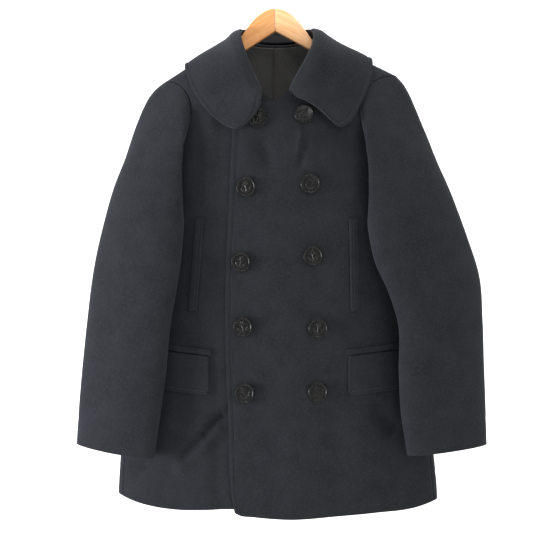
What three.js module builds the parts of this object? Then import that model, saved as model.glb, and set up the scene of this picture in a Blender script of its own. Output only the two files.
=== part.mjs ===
// Double-breasted wool pea coat hanging on a plain wooden hanger made of two mitred halves.
// Millimetres, +Z up, +X towards the wearer's left. The coat's front faces -Y.
// The origin is the top of the hanger's crown, where the hanger is held.

import * as THREE from 'three';

// Cloth and wood sizes
const CLOTH = 3;
const COLLAR_THICK = 4.6;
const POCKET_THICK = 2.6;
const POCKET_SINK = 0.4;
const POCKET_LIFT = 0.6;
const LINING_THICK = 1.2;
const LINING_GAP = 1.3;
const LINING_LOW_Z = -290;
const LINING_BELOW = { neck: 1.5, shoulder: 14 };
const SEAM_GAP = 0.3;
const HANGER_THICK = 13;
const HANGER_BEVEL = 1.6;

// The coat's body: half width, middle, and how far front and back stand from the hanger's plane
const SECTIONS = [
  { z: -870, half: 268, middle: 4, front: 72, back: 78 },
  { z: -805, half: 266, middle: 4, front: 72, back: 78 },
  { z: -745, half: 261, middle: 3, front: 72, back: 78 },
  { z: -600, half: 240, middle: 3, front: 71, back: 78 },
  { z: -450, half: 218, middle: 3, front: 70, back: 78 },
  { z: -330, half: 207, middle: 3, front: 69, back: 76 },
  { z: -290, half: 206, middle: 3, front: 68, back: 75 },
  { z: -230, half: 208, middle: 4, front: 68, back: 74 },
  { z: -160, half: 220, middle: 5, front: 68, back: 72 },
  { z: -90, half: 236, middle: 6, front: 68, back: 70 },
  { z: 0, half: 242, middle: 6, front: 68, back: 70 },
];
const SIDE_SEAM_ANGLE = 75;
const SIDE_SEAM_TURN = 0.1;
const ARMPIT_Z = -296;

// Shoulder ridge: the slope differs because the hanger hangs a little low at the wearer's right
const RIDGE_Z = -45.5;
const NECK_HALF = 66;
const SHOULDER = {
  left: { side: 1, slope: 0.49, tip: 203, inset: 64 },
  right: { side: -1, slope: 0.64, tip: 186, inset: 52 },
};
const RIDGE_SOFT = 14;

// How the cloth rounds over the hanger near the neck and near the shoulder tip, then down the chest
const NECK_ROUND = { x: 60, depth: 50, fall: 60 };
const TIP_ROUND = { x: 190, depth: 40, fall: 90 };
const CHEST_FALL = 250;
const NEAR_RIDGE = 40;

// Front edge of the upper front, measured from the middle of the hanger
const FRONT_EDGE = [
  { z: -870, x: -60 },
  { z: -804, x: -71 },
  { z: -668, x: -77 },
  { z: -595, x: -81 },
  { z: -485, x: -82 },
  { z: -278, x: -74 },
  { z: -163, x: -69 },
  { z: -100, x: -69 },
];
const UNDER_EDGE_X = 72;
const LAP = { start: 16, end: 42, top: -112, fade: 22, gap: 1.2 };
const FRONT_TOP_Z = -162;
const HEM_OVER = [
  { x: -72, z: -829 },
  { x: -62, z: -835 },
  { x: -40, z: -838 },
  { x: 15, z: -842 },
  { x: 103, z: -837 },
  { x: 165, z: -833 },
  { x: 222, z: -829 },
  { x: 275, z: -817 },
];
const HEM_UNDER = [
  { x: -275, z: -805 },
  { x: -253, z: -812 },
  { x: -230, z: -819 },
  { x: -198, z: -825 },
  { x: -165, z: -828 },
  { x: -80, z: -826 },
  { x: 80, z: -826 },
];
const HEM_BACK = [
  { x: -275, z: -806 },
  { x: -230, z: -817 },
  { x: -120, z: -824 },
  { x: 0, z: -827 },
  { x: 120, z: -826 },
  { x: 230, z: -824 },
  { x: 275, z: -818 },
];

// Collar, from the middle of the back to the front end. A drop is the fall below the ridge,
// less than nought on the coat's front. stand is the height of the fold above the seam, flat the share
// of the leaf's width at which it lies down, bow how far the section swings towards the front edge,
// and lean how far the fold leans in towards the neck.
const COLLAR_SEAM = [
  { at: 0, x: 0, drop: 12, stand: 32, lift: 0 },
  { at: 1, x: 26, drop: 11, stand: 31, lift: 0 },
  { at: 2, x: 47, drop: 7.5, stand: 21, lift: 0 },
  { at: 3, x: 61, drop: 2.5, stand: 14, lift: 0 },
  { at: 4, x: 66, drop: -0.5, stand: 11, lift: 0.6 },
  { at: 5, x: 65, drop: -12, stand: 11, lift: 0.6 },
  { at: 6, x: 58, drop: -31, stand: 11, lift: 0 },
  { at: 7, x: 49, drop: -52, stand: 10, lift: 0 },
  { at: 8, x: 39, drop: -74, stand: 9, lift: 1 },
  { at: 9, x: 31, drop: -90, stand: 9, lift: 4 },
  { at: 10, x: 26, drop: -101, stand: 10, lift: 9 },
  { at: 11, x: 24, drop: -108, stand: 10, lift: 10 },
];
const COLLAR_EDGE = {
  left: [
    { at: 0, x: 0, drop: 80, flat: 0.72, bow: 0, lean: 0 },
    { at: 1, x: 54, drop: 78, flat: 0.66, bow: 0, lean: 1 },
    { at: 2, x: 102, drop: 66, flat: 0.6, bow: 0, lean: 3 },
    { at: 3, x: 136, drop: 36, flat: 0.55, bow: 0, lean: 5 },
    { at: 4, x: 154, drop: 8, flat: 0.5, bow: 0, lean: 6 },
    { at: 5, x: 159, drop: -6, flat: 0.55, bow: 0, lean: 2 },
    { at: 6, x: 156, drop: -30, flat: 0.6, bow: 0, lean: -4 },
    { at: 7, x: 147, drop: -60, flat: 0.66, bow: 0, lean: -4 },
    { at: 8, x: 133, drop: -96, flat: 0.72, bow: 0, lean: -1 },
    { at: 9, x: 119, drop: -124, flat: 0.72, bow: 0, lean: 0 },
    { at: 10, x: 102, drop: -141, flat: 0.72, bow: 0, lean: 0 },
    { at: 11, x: 88, drop: -139, flat: 0.72, bow: 0, lean: 0 },
  ],
  right: [
    { at: 0, x: 0, drop: 80, flat: 0.72, bow: 0, lean: 0 },
    { at: 1, x: 52, drop: 78, flat: 0.6, bow: 0, lean: 1 },
    { at: 2, x: 98, drop: 66, flat: 0.42, bow: 0, lean: 4 },
    { at: 3, x: 128, drop: 36, flat: 0.3, bow: 0, lean: 8 },
    { at: 4, x: 143, drop: 8, flat: 0.26, bow: 0, lean: 12 },
    { at: 5, x: 148, drop: -5, flat: 0.3, bow: 0, lean: 9 },
    { at: 6, x: 142, drop: -28, flat: 0.42, bow: 0, lean: 4 },
    { at: 7, x: 131, drop: -60, flat: 0.6, bow: 0, lean: 1 },
    { at: 8, x: 110, drop: -103, flat: 0.72, bow: 0, lean: 0 },
    { at: 9, x: 86, drop: -139, flat: 0.72, bow: 0, lean: 0 },
    { at: 10, x: 62, drop: -162, flat: 0.72, bow: 2, lean: 0 },
    { at: 11, x: 46, drop: -156, flat: 0.72, bow: 9, lean: 0 },
  ],
};
const COLLAR_STEPS = 2;
const LEAF_REST = { left: 3, right: 2.4 };
const LEAF_STOPS = [0.12, 0.26, 0.42, 0.6, 0.8, 1];
const LEAF_SETTLE = { power: 1.5, raised: 0.3 };
const STAND_STOPS = [1, 0.55, 0.05];
const STAND_SET = { off: 2.5, up: 0.7 };

// Sleeves, one row for each ring. blend is how far the ring has left the armhole's own shape,
// out and in are its outer and inner points, front and back how far it swells between them.
const SLEEVE_RINGS = {
  left: [
    { blend: 0.08, outX: 214, outY: -1, outZ: -128, inX: 160, inY: -57, inZ: -261, front: 34, back: 46 },
    { blend: 0.26, outX: 231, outY: -3, outZ: -160, inX: 155, inY: -63, inZ: -280, front: 34, back: 46 },
    { blend: 0.5, outX: 247, outY: -5, outZ: -200, inX: 152, inY: -68, inZ: -304, front: 34, back: 44 },
    { blend: 0.76, outX: 265, outY: -7, outZ: -246, inX: 151, inY: -72, inZ: -334, front: 33, back: 42 },
    { blend: 1, outX: 288, outY: -9, outZ: -303, inX: 152, inY: -76, inZ: -370, front: 32, back: 38 },
    { blend: 1, outX: 318, outY: -12, outZ: -382, inX: 161, inY: -80, inZ: -424, front: 30, back: 32 },
    { blend: 1, outX: 338, outY: -16, outZ: -450, inX: 184, inY: -82, inZ: -478, front: 30, back: 27 },
    { blend: 1, outX: 342, outY: -20, outZ: -520, inX: 199, inY: -82, inZ: -532, front: 29, back: 24 },
    { blend: 1, outX: 344, outY: -22, outZ: -590, inX: 199, inY: -82, inZ: -598, front: 28, back: 23 },
    { blend: 1, outX: 347, outY: -22, outZ: -660, inX: 203, inY: -80, inZ: -668, front: 27, back: 22 },
    { blend: 1, outX: 349, outY: -20, outZ: -725, inX: 214, inY: -76, inZ: -737, front: 26, back: 22 },
  ],
  right: [
    { blend: 0.08, outX: 200, outY: -1, outZ: -136, inX: 162, inY: -57, inZ: -261, front: 34, back: 46 },
    { blend: 0.26, outX: 218, outY: -3, outZ: -162, inX: 156, inY: -63, inZ: -280, front: 34, back: 46 },
    { blend: 0.5, outX: 234, outY: -5, outZ: -202, inX: 152, inY: -68, inZ: -304, front: 34, back: 44 },
    { blend: 0.76, outX: 249, outY: -7, outZ: -246, inX: 151, inY: -72, inZ: -334, front: 33, back: 42 },
    { blend: 1, outX: 268, outY: -9, outZ: -302, inX: 152, inY: -76, inZ: -370, front: 32, back: 38 },
    { blend: 1, outX: 289, outY: -12, outZ: -380, inX: 154, inY: -80, inZ: -422, front: 30, back: 32 },
    { blend: 1, outX: 302, outY: -16, outZ: -448, inX: 161, inY: -82, inZ: -474, front: 30, back: 27 },
    { blend: 1, outX: 311, outY: -20, outZ: -520, inX: 171, inY: -82, inZ: -530, front: 29, back: 24 },
    { blend: 1, outX: 318, outY: -22, outZ: -590, inX: 177, inY: -82, inZ: -598, front: 28, back: 23 },
    { blend: 1, outX: 324, outY: -22, outZ: -660, inX: 186, inY: -80, inZ: -668, front: 27, back: 22 },
    { blend: 1, outX: 329, outY: -20, outZ: -724, inX: 198, inY: -76, inZ: -742, front: 26, back: 22 },
  ],
};
const ARMHOLE_ROWS = 10;
const ARMHOLE_CROWD = 1.6;
const FRONT_ARMHOLE_POWER = 0.75;
const SCOOP_POWER = 2.5;
const BACK_ARMHOLE = { rise: 0.5, scoop: 4 };
const SLEEVE_SET = 1;
const SLEEVE_SEAM = 0.3;
const INNER_COLUMN = 8;
const UNDER_SLEEVE = { first: 9, last: 13 };
const SLEEVE_CLEAR = { least: 6, most: 6.5, fall: 45, top: -190 };

// Grid of the body panels: the distance of each column from the middle at the panel's top
const BODY_ROWS = 11;
const FRONT_FLAT = { x: 25, columns: 4 };
const FRONT_NECK = [25, 33, 43, 54, 62, 66, 73, 82];
const FRONT_SHOULDER = { x: 98, columns: 4 };
const BACK_LEFT = [170, 135, 100, 80, 66, 61, 52, 36, 18, 0];
const BACK_RIGHT = [18, 36, 52, 61, 66, 80, 105, 132, 160];
const HEM_GUESS_Z = -820;
const NECK_CUT = { beside: 3, below: 1 };

// Grid of what shows inside the neck
const LINING_X = [110, 86, 64, 52, 36, 18, 0, -18, -36, -52, -64, -86, -110];
const LINING_ROWS = 6;

// Pockets, placed by x and z on the front
const WELT = { width: 14.5, top: -353, bottom: -504, rows: 6 };
const WELT_X = { left: { top: 119, bottom: 122 }, right: { top: -116, bottom: -128 } };
const FLAP = { top: -577, bottom: -641, length: 128, tilt: 0.1, columns: 6, rows: 3 };
const FLAP_X = { left: 118, right: -109 };
const JET = { height: 9, above: 1.5, inset: 4 };

// Buttons
const BUTTON = { radius: 16, rim: 13.2, high: 4.2, dish: 3.1, lift: 0.5, stand: 3, shank: 5, segments: 16 };
const BUTTON_EDGE = { base: 2, low: 1.2, round: 1.4, inner: 0.8, top: 0.3 };
const BUTTON_PLACES = [
  { x: -30, z: -190 },
  { x: -48, z: -302 },
  { x: -56, z: -424 },
  { x: -53, z: -529 },
  { x: -50, z: -636 },
  { x: 46, z: -183 },
  { x: 56, z: -297 },
  { x: 60, z: -414 },
  { x: 68, z: -531 },
  { x: 68, z: -634 },
];

// Hanger half: the upper and lower outline from the mitre to the neck, then the straight arm
const HANGER_CROWN = [
  { x: 0, z: 0 },
  { x: 12, z: -2 },
  { x: 24, z: -8.3 },
  { x: 34, z: -16.7 },
  { x: 43, z: -27 },
  { x: 51, z: -38 },
  { x: 57, z: -47 },
  { x: 62, z: -53 },
];
const HANGER_APEX_Z = -38;
const HANGER_ARM_DROP = 8;
const HANGER_ARM = { start: 68, x: [84, 108, 136], inset: 24, high: 20, corner: 5 };

const WOOL = { color: 0x14171f, roughness: 0.95, metalness: 0 };
const LINING = { color: 0x191919, roughness: 0.7, metalness: 0 };
const HORN = { color: 0x0b0b0b, roughness: 0.3, metalness: 0 };
const WOOD = { color: 0xeec08a, roughness: 0.55, metalness: 0 };

const group = new THREE.Group();

/** Add one named mesh with a material of its own. */
function addPiece(name, geometry, finish) {
  const mesh = new THREE.Mesh(geometry, new THREE.MeshStandardMaterial(finish));
  mesh.name = name;
  group.add(mesh);
  return mesh;
}

/** A straight mix of two numbers. */
function mix(low, high, share) {
  return low + (high - low) * share;
}

/** A share from 0 to 1 with soft ends. */
function ease(share) {
  const held = Math.min(Math.max(share, 0), 1);
  return held * held * (3 - 2 * held);
}

/** The smooth value of one column of a table at a place along its key column. */
function along(table, key, name, place) {
  const last = table.length - 1;
  const held = Math.min(Math.max(place, table[0][key]), table[last][key]);
  let row = 0;
  while (row < last - 1 && held > table[row + 1][key]) row += 1;
  const gap = (index) => table[index + 1][key] - table[index][key];
  const rise = (index) => (table[index + 1][name] - table[index][name]) / gap(index);
  const slope = (index) => {
    if (index === 0) return rise(0);
    if (index === last) return rise(last - 1);
    return (rise(index - 1) * gap(index) + rise(index) * gap(index - 1)) / (gap(index) + gap(index - 1));
  };
  const wide = gap(row);
  const t = (held - table[row][key]) / wide;
  const t2 = t * t;
  const t3 = t2 * t;
  return (2 * t3 - 3 * t2 + 1) * table[row][name] + (t3 - 2 * t2 + t) * wide * slope(row)
    + (3 * t2 - 2 * t3) * table[row + 1][name] + (t3 - t2) * wide * slope(row + 1);
}

/** The height of the shoulder ridge above a place across the coat. */
function ridge(x) {
  const slope = x > 0 ? SHOULDER.left.slope : SHOULDER.right.slope;
  const past = Math.max(Math.abs(x) - NECK_HALF + RIDGE_SOFT, 0);
  return RIDGE_Z - slope * (Math.hypot(past, RIDGE_SOFT) - RIDGE_SOFT);
}

/** How far the cloth stands from the hanger's plane at a place, before the section's rounding. */
function depth(x, z, full) {
  const drop = Math.max(ridge(x) - z, 0);
  const out = ease((Math.abs(x) - NECK_ROUND.x) / (TIP_ROUND.x - NECK_ROUND.x));
  const round = mix(NECK_ROUND.depth, TIP_ROUND.depth, out);
  const fall = mix(NECK_ROUND.fall, TIP_ROUND.fall, out);
  const share = Math.min(drop / fall, 1);
  return round * Math.sqrt(share * (2 - share)) + (full - round) * ease(drop / CHEST_FALL);
}

/** The point of the body's outer surface at an angle, 0 in front and 180 behind, and a height. */
function bodyPoint(angle, z) {
  const turn = THREE.MathUtils.degToRad(angle);
  const x = along(SECTIONS, 'z', 'middle', z) + along(SECTIONS, 'z', 'half', z) * Math.sin(turn);
  const ahead = Math.cos(turn);
  const full = along(SECTIONS, 'z', ahead > 0 ? 'front' : 'back', z);
  return new THREE.Vector3(x, -ahead * depth(x, z, full), z);
}

/** The angle at which the body's front, or its back, has this x at this height. */
function angleAt(x, z, behind = false) {
  const share = (x - along(SECTIONS, 'z', 'middle', z)) / along(SECTIONS, 'z', 'half', z);
  const angle = THREE.MathUtils.radToDeg(Math.asin(Math.min(Math.max(share, -1), 1)));
  return behind ? 180 - angle : angle;
}

/** The point of the surface over the shoulder: x, and the root of the drop, below 0 in front. */
function ridgePoint(x, root) {
  const z = ridge(x) - root * root;
  return bodyPoint(angleAt(x, z, root > 0), z);
}

/** The outward direction from two tangents of the surface. */
function facing(across, up) {
  return new THREE.Vector3().crossVectors(across, up).normalize();
}

/** The outward direction of the surface near the ridge. */
function ridgeNormal(x, root) {
  const step = 0.4;
  const across = ridgePoint(x + step, root).sub(ridgePoint(x - step, root));
  const back = ridgePoint(x, root - step).sub(ridgePoint(x, root + step));
  return facing(back, across);
}

/** The outward direction of the body's surface. */
function bodyNormal(angle, z) {
  const point = bodyPoint(angle, z);
  const drop = ridge(point.x) - z;
  const behind = Math.cos(THREE.MathUtils.degToRad(angle)) < 0;
  if (drop < NEAR_RIDGE) return ridgeNormal(point.x, Math.sqrt(Math.max(drop, 0)) * (behind ? 1 : -1));
  const across = bodyPoint(angle + 0.5, z).sub(bodyPoint(angle - 0.5, z));
  const up = bodyPoint(angle, z + 1).sub(bodyPoint(angle, z - 1));
  return facing(across, up);
}

/** A closed wall between an outer and an inner grid of points with the same rows and columns. */
function wallBetween(outer, inner) {
  const rows = outer.length;
  const columns = outer[0].length;
  const end = columns - 1;
  const top = rows - 1;
  const points = [...outer.flat(), ...inner.flat()];
  const faces = [];
  const out = (row, column) => row * columns + column;
  const back = (row, column) => rows * columns + row * columns + column;
  const quad = (a, b, c, d) => faces.push(a, b, c, a, c, d);
  for (let row = 0; row < top; row += 1) {
    for (let column = 0; column < end; column += 1) {
      quad(out(row, column), out(row, column + 1), out(row + 1, column + 1), out(row + 1, column));
      quad(back(row, column), back(row + 1, column), back(row + 1, column + 1), back(row, column + 1));
    }
    quad(out(row + 1, 0), back(row + 1, 0), back(row, 0), out(row, 0));
    quad(out(row + 1, end), out(row, end), back(row, end), back(row + 1, end));
  }
  for (let column = 0; column < end; column += 1) {
    quad(out(0, column + 1), out(0, column), back(0, column), back(0, column + 1));
    quad(out(top, column), out(top, column + 1), back(top, column + 1), back(top, column));
  }
  const geometry = new THREE.BufferGeometry();
  geometry.setAttribute('position', new THREE.Float32BufferAttribute(points.flatMap((p) => p.toArray()), 3));
  geometry.setIndex(faces);
  geometry.computeVertexNormals();
  return geometry;
}

/** Each point of a grid moved along its own direction. */
function moved(points, normals, distance) {
  return points.map((row, j) => row.map((p, i) => p.clone().addScaledVector(normals[j][i], distance)));
}

/** A wall on the body from a grid of angle and height, its outer face lift mm off the surface. */
function bodyWall(grid, thickness, lift = () => 0) {
  const points = grid.map((row) => row.map((spot) => bodyPoint(spot.angle, spot.z)));
  const normals = grid.map((row) => row.map((spot) => bodyNormal(spot.angle, spot.z)));
  const outer = points.map((row, j) => row.map((p, i) => p.addScaledVector(normals[j][i], lift(p.x, p.z))));
  return wallBetween(outer, moved(outer, normals, -thickness));
}

/** Shares from 0 to 1 in even steps. */
function steps(count) {
  return Array.from({ length: count + 1 }, (unused, index) => index / count);
}

/** The neck seam's drop on the front or the back, for a distance from the middle. */
function neckDrop(x, behind) {
  const rows = COLLAR_SEAM.filter((row) => (behind ? row.drop > -1 : row.drop < 0));
  const table = rows.map((row) => ({ x: row.x, drop: Math.abs(row.drop) })).sort((a, b) => a.x - b.x);
  return along(table, 'x', 'drop', Math.abs(x) + NECK_CUT.beside);
}

/** The top of the back or of a front: neck seam, then shoulder ridge. */
function topAt(x, behind) {
  if (Math.abs(x) >= NECK_HALF) return ridge(x);
  return ridge(x) - Math.max(neckDrop(x, behind) - NECK_CUT.below, 0);
}

/** The angle of the straight line from the armpit to the shoulder tip, moved in by some millimetres. */
function armholeLine(shoulder, rise, inset) {
  const pit = bodyPoint(shoulder.side * SIDE_SEAM_ANGLE, ARMPIT_Z).x * shoulder.side;
  const straight = mix(pit, shoulder.tip, rise);
  return angleAt(shoulder.side * (straight - inset), armholeZ(shoulder, rise));
}

/** The front armhole's angle at a share of its rise from the armpit to the shoulder tip. */
function frontArmhole(shoulder, rise) {
  const scoop = shoulder.inset * Math.pow(Math.sin(Math.PI * rise), FRONT_ARMHOLE_POWER);
  return armholeLine(shoulder, rise, scoop);
}

/** The back armhole's angle at a share of its rise. */
function backArmhole(shoulder, rise) {
  const z = armholeZ(shoulder, rise);
  const tip = Math.abs(angleAt(shoulder.side * shoulder.tip, z, true) - (shoulder.side > 0 ? 0 : 360));
  const swing = mix(SIDE_SEAM_ANGLE, tip, Math.min(ease(rise / BACK_ARMHOLE.rise), 1));
  return shoulder.side * (swing + BACK_ARMHOLE.scoop * Math.sin(Math.PI * rise));
}

/** The armhole's height at a share of its rise. */
function armholeZ(shoulder, rise) {
  return mix(ARMPIT_Z, ridge(shoulder.side * shoulder.tip), 1 - Math.pow(1 - rise, ARMHOLE_CROWD));
}

/** Columns of a front: the x of each at the panel's top, from the front edge to the shoulder tip. */
function frontColumns(shoulder, edgeX) {
  const side = shoulder.side;
  const flat = steps(FRONT_FLAT.columns).slice(0, -1).map((share) => mix(edgeX, side * FRONT_FLAT.x, share));
  const neck = FRONT_NECK.map((x) => side * x);
  const shoulderSteps = steps(FRONT_SHOULDER.columns);
  const shoulderLine = shoulderSteps.map((share) => side * mix(FRONT_SHOULDER.x, shoulder.tip, share));
  return [...flat, ...neck, ...shoulderLine];
}

/** The grid of one front, with the heights of its hem and the place of its front edge. */
function frontGrid(shoulder, hem, edge) {
  const side = shoulder.side;
  const edgeTop = edge(FRONT_TOP_Z);
  const tipZ = ridge(side * shoulder.tip);
  const tipAngle = angleAt(side * shoulder.tip, tipZ);
  const edgeAngle = angleAt(edgeTop, FRONT_TOP_Z);
  const columns = frontColumns(shoulder, edgeTop).map((x) => {
    const flat = x * side < FRONT_FLAT.x;
    const top = flat ? FRONT_TOP_Z : topAt(x, false);
    return { top, share: (angleAt(x, top) - edgeAngle) / (tipAngle - edgeAngle) };
  });
  const spot = (column, sideAngle, z) => {
    const from = angleAt(edge(z), z);
    return { angle: mix(from, sideAngle, column.share), z };
  };
  const lower = steps(BODY_ROWS).map((rise) => columns.map((column) => {
    const guess = spot(column, side * SIDE_SEAM_ANGLE, HEM_GUESS_Z);
    const low = along(hem, 'x', 'z', bodyPoint(guess.angle, HEM_GUESS_Z).x);
    return spot(column, side * SIDE_SEAM_ANGLE, mix(low, ARMPIT_Z, rise));
  }));
  const upper = steps(ARMHOLE_ROWS).slice(1).map((rise) => columns.map((column) => {
    const share = (armholeZ(shoulder, rise) - ARMPIT_Z) / (tipZ - ARMPIT_Z);
    const line = armholeLine(shoulder, rise, 0);
    const scoop = (line - frontArmhole(shoulder, rise)) * Math.pow(column.share, SCOOP_POWER);
    const { angle, z } = spot(column, line, mix(ARMPIT_Z, column.top, share));
    return { angle: angle - scoop, z };
  }));
  const grid = [...lower, ...upper];
  return side > 0 ? grid : grid.map((row) => row.reverse());
}

/** How far the under front sinks where the other front lies over it. */
function underSink(x, z) {
  const edge = along(FRONT_EDGE, 'z', 'x', z);
  const under = ease((x - edge + LAP.end) / (LAP.end - LAP.start));
  const below = ease((LAP.top - z) / LAP.fade);
  return -(CLOTH + LAP.gap) * under * below;
}

/** The two fronts. */
function buildFronts() {
  const overEdge = (z) => along(FRONT_EDGE, 'z', 'x', z);
  const over = frontGrid(SHOULDER.left, HEM_OVER, overEdge);
  addPiece('front_left_over', bodyWall(over, CLOTH), WOOL);
  const under = frontGrid(SHOULDER.right, HEM_UNDER, () => UNDER_EDGE_X);
  addPiece('front_right_under', bodyWall(under, CLOTH, underSink), WOOL);
}

/** The grid of the back, from the wearer's left side seam round to the right one. */
function backGrid() {
  const { left, right } = SHOULDER;
  const gap = SIDE_SEAM_TURN;
  const places = [left.tip, ...BACK_LEFT, ...BACK_RIGHT.map((x) => -x), -right.tip];
  const topAngle = (x) => angleAt(x, topAt(x, true), true);
  const first = topAngle(left.tip);
  const last = topAngle(-right.tip);
  const columns = places.map((x) => ({
    top: topAt(x, true), share: (topAngle(x) - first) / (last - first),
  }));
  const leftSeam = SIDE_SEAM_ANGLE + gap;
  const rightSeam = 360 - SIDE_SEAM_ANGLE - gap;
  const lower = steps(BODY_ROWS).map((rise) => columns.map((column) => {
    const angle = mix(leftSeam, rightSeam, column.share);
    const low = along(HEM_BACK, 'x', 'z', bodyPoint(angle, HEM_GUESS_Z).x);
    return { angle, z: mix(low, ARMPIT_Z, rise) };
  }));
  const upper = steps(ARMHOLE_ROWS).slice(1).map((rise) => columns.map((column) => {
    const from = backArmhole(left, rise) + gap;
    const to = 360 + backArmhole(right, rise) - gap;
    const rightShare = (armholeZ(right, rise) - ARMPIT_Z) / (ridge(-right.tip) - ARMPIT_Z);
    const leftShare = (armholeZ(left, rise) - ARMPIT_Z) / (ridge(left.tip) - ARMPIT_Z);
    const height = mix(leftShare, rightShare, column.share);
    return { angle: mix(from, to, column.share), z: mix(ARMPIT_Z, column.top, height) };
  }));
  return [...lower, ...upper];
}

/** The back, one plain panel. */
function buildBack() {
  addPiece('back', bodyWall(backGrid(), CLOTH), WOOL);
}

/** The outer points of one sleeve's edge at the armhole, from the tip forward and round. */
function armholeLoop(shoulder) {
  const front = steps(ARMHOLE_ROWS).map((share) => {
    const rise = 1 - share;
    return { angle: frontArmhole(shoulder, rise), z: armholeZ(shoulder, rise), turn: shoulder.side };
  });
  const back = steps(ARMHOLE_ROWS).slice(1, -1).map((rise) => (
    { angle: backArmhole(shoulder, rise), z: armholeZ(shoulder, rise), turn: -shoulder.side }
  ));
  return [...front, ...back];
}

/** Keep a sleeve's point clear of the body's outside, below the upper armhole. */
function clearOfBody(point) {
  const { least, most, fall, top } = SLEEVE_CLEAR;
  if (point.z > top) return point;
  const away = mix(least, most, ease((ARMPIT_Z - point.z) / fall));
  const middle = along(SECTIONS, 'z', 'middle', point.z);
  const half = along(SECTIONS, 'z', 'half', point.z) + away;
  const full = along(SECTIONS, 'z', point.y < 0 ? 'front' : 'back', point.z);
  const thick = depth(point.x, point.z, full) + away;
  const level = Math.hypot((point.x - middle) / half, point.y / thick);
  if (level >= 1) return point;
  return new THREE.Vector3(middle + (point.x - middle) / level, point.y / level, point.z);
}

/** The round section of a sleeve ring at a turn from its outer point towards the front. */
function ringPoint(row, side, turn) {
  const outer = new THREE.Vector3(side * row.outX, row.outY, row.outZ);
  const inner = new THREE.Vector3(side * row.inX, row.inY, row.inZ);
  const half = outer.clone().sub(inner).multiplyScalar(0.5);
  const ahead = new THREE.Vector3(half.y, -half.x, 0).multiplyScalar(side).normalize();
  const swell = Math.sin(turn) > 0 ? row.front : row.back;
  const middle = inner.add(half);
  return middle.addScaledVector(half, Math.cos(turn)).addScaledVector(ahead, swell * Math.sin(turn));
}

/** The outer points of a whole sleeve: a row for each ring, from the armhole to the cuff. */
function sleeveGrid(shoulder, rows) {
  const side = shoulder.side;
  const loop = armholeLoop(shoulder);
  const armhole = loop.map((spot) => bodyPoint(spot.angle, spot.z));
  const count = loop.length;
  const innerAngle = (INNER_COLUMN / count) * 2 * Math.PI;
  const lead = (Math.PI - innerAngle) / ((1 - Math.cos(innerAngle)) / 2);
  const turns = loop.map((spot, index) => {
    const angle = (index / count) * 2 * Math.PI;
    return angle + (lead * (1 - Math.cos(angle))) / 2;
  });
  const rings = rows.map((row) => {
    const toOuter = ringPoint(row, side, 0).sub(armhole[0]);
    const toInner = ringPoint(row, side, Math.PI).sub(armhole[INNER_COLUMN]);
    return armhole.map((start, index) => {
      const outward = (1 + Math.cos(turns[index])) / 2;
      const carried = start.clone().addScaledVector(toOuter, outward).addScaledVector(toInner, 1 - outward);
      return clearOfBody(carried.lerp(ringPoint(row, side, turns[index]), row.blend));
    });
  });
  const first = armhole.map((point, index) => {
    const away = rings[0][index].clone().sub(point).normalize();
    return point.clone().addScaledVector(away, SEAM_GAP + SLEEVE_SET);
  });
  return [first, ...rings];
}

/** The outward directions of a sleeve's points, the first row kept off the body's own edge. */
function sleeveNormals(shoulder, grid) {
  const count = grid[0].length;
  const last = grid.length - 1;
  const normals = grid.map((row, j) => row.map((point, i) => {
    const across = row[(i + 1) % count].clone().sub(row[(i + count - 1) % count]);
    const down = grid[Math.min(j + 1, last)][i].clone().sub(grid[Math.max(j - 1, 0)][i]);
    return facing(across, down).multiplyScalar(shoulder.side);
  }));
  armholeLoop(shoulder).forEach((spot, i) => {
    const here = bodyPoint(spot.angle, spot.z);
    const away = bodyPoint(spot.angle + spot.turn * 0.5, spot.z).sub(here).normalize();
    const inward = Math.max(normals[0][i].dot(away), 0);
    normals[0][i].addScaledVector(away, -inward).normalize();
  });
  return normals;
}

/** One cut piece of a sleeve: the columns from first to last, a seam's gap inside its neighbours. */
function sleevePiece(grid, normals, first, last, side) {
  const count = grid[0].length;
  const columns = Array.from({ length: last - first + 1 }, (unused, index) => (first + index) % count);
  const outer = grid.map((row) => columns.map((column) => row[column].clone()));
  const chosen = normals.map((row) => columns.map((column) => row[column]));
  const end = columns.length - 1;
  outer.forEach((row) => {
    const start = row[1].clone().sub(row[0]).normalize();
    const stop = row[end - 1].clone().sub(row[end]).normalize();
    row[0].addScaledVector(start, SLEEVE_SEAM / 2);
    row[end].addScaledVector(stop, SLEEVE_SEAM / 2);
  });
  if (side < 0) {
    outer.forEach((row) => row.reverse());
    chosen.forEach((row) => row.reverse());
  }
  return wallBetween(outer, moved(outer, chosen, -CLOTH));
}

/** A two-piece sleeve. */
function buildSleeve(name, shoulder, rows) {
  const grid = sleeveGrid(shoulder, rows);
  const normals = sleeveNormals(shoulder, grid);
  const { first, last } = UNDER_SLEEVE;
  const around = grid[0].length;
  addPiece(`sleeve_under_${name}`, sleevePiece(grid, normals, first, last, shoulder.side), WOOL);
  addPiece(`sleeve_top_${name}`, sleevePiece(grid, normals, last, first + around, shoulder.side), WOOL);
}

/** The root of a drop, below 0 in front of the ridge. */
function rootOf(drop) {
  return Math.sign(drop) * Math.sqrt(Math.abs(drop));
}

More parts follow.
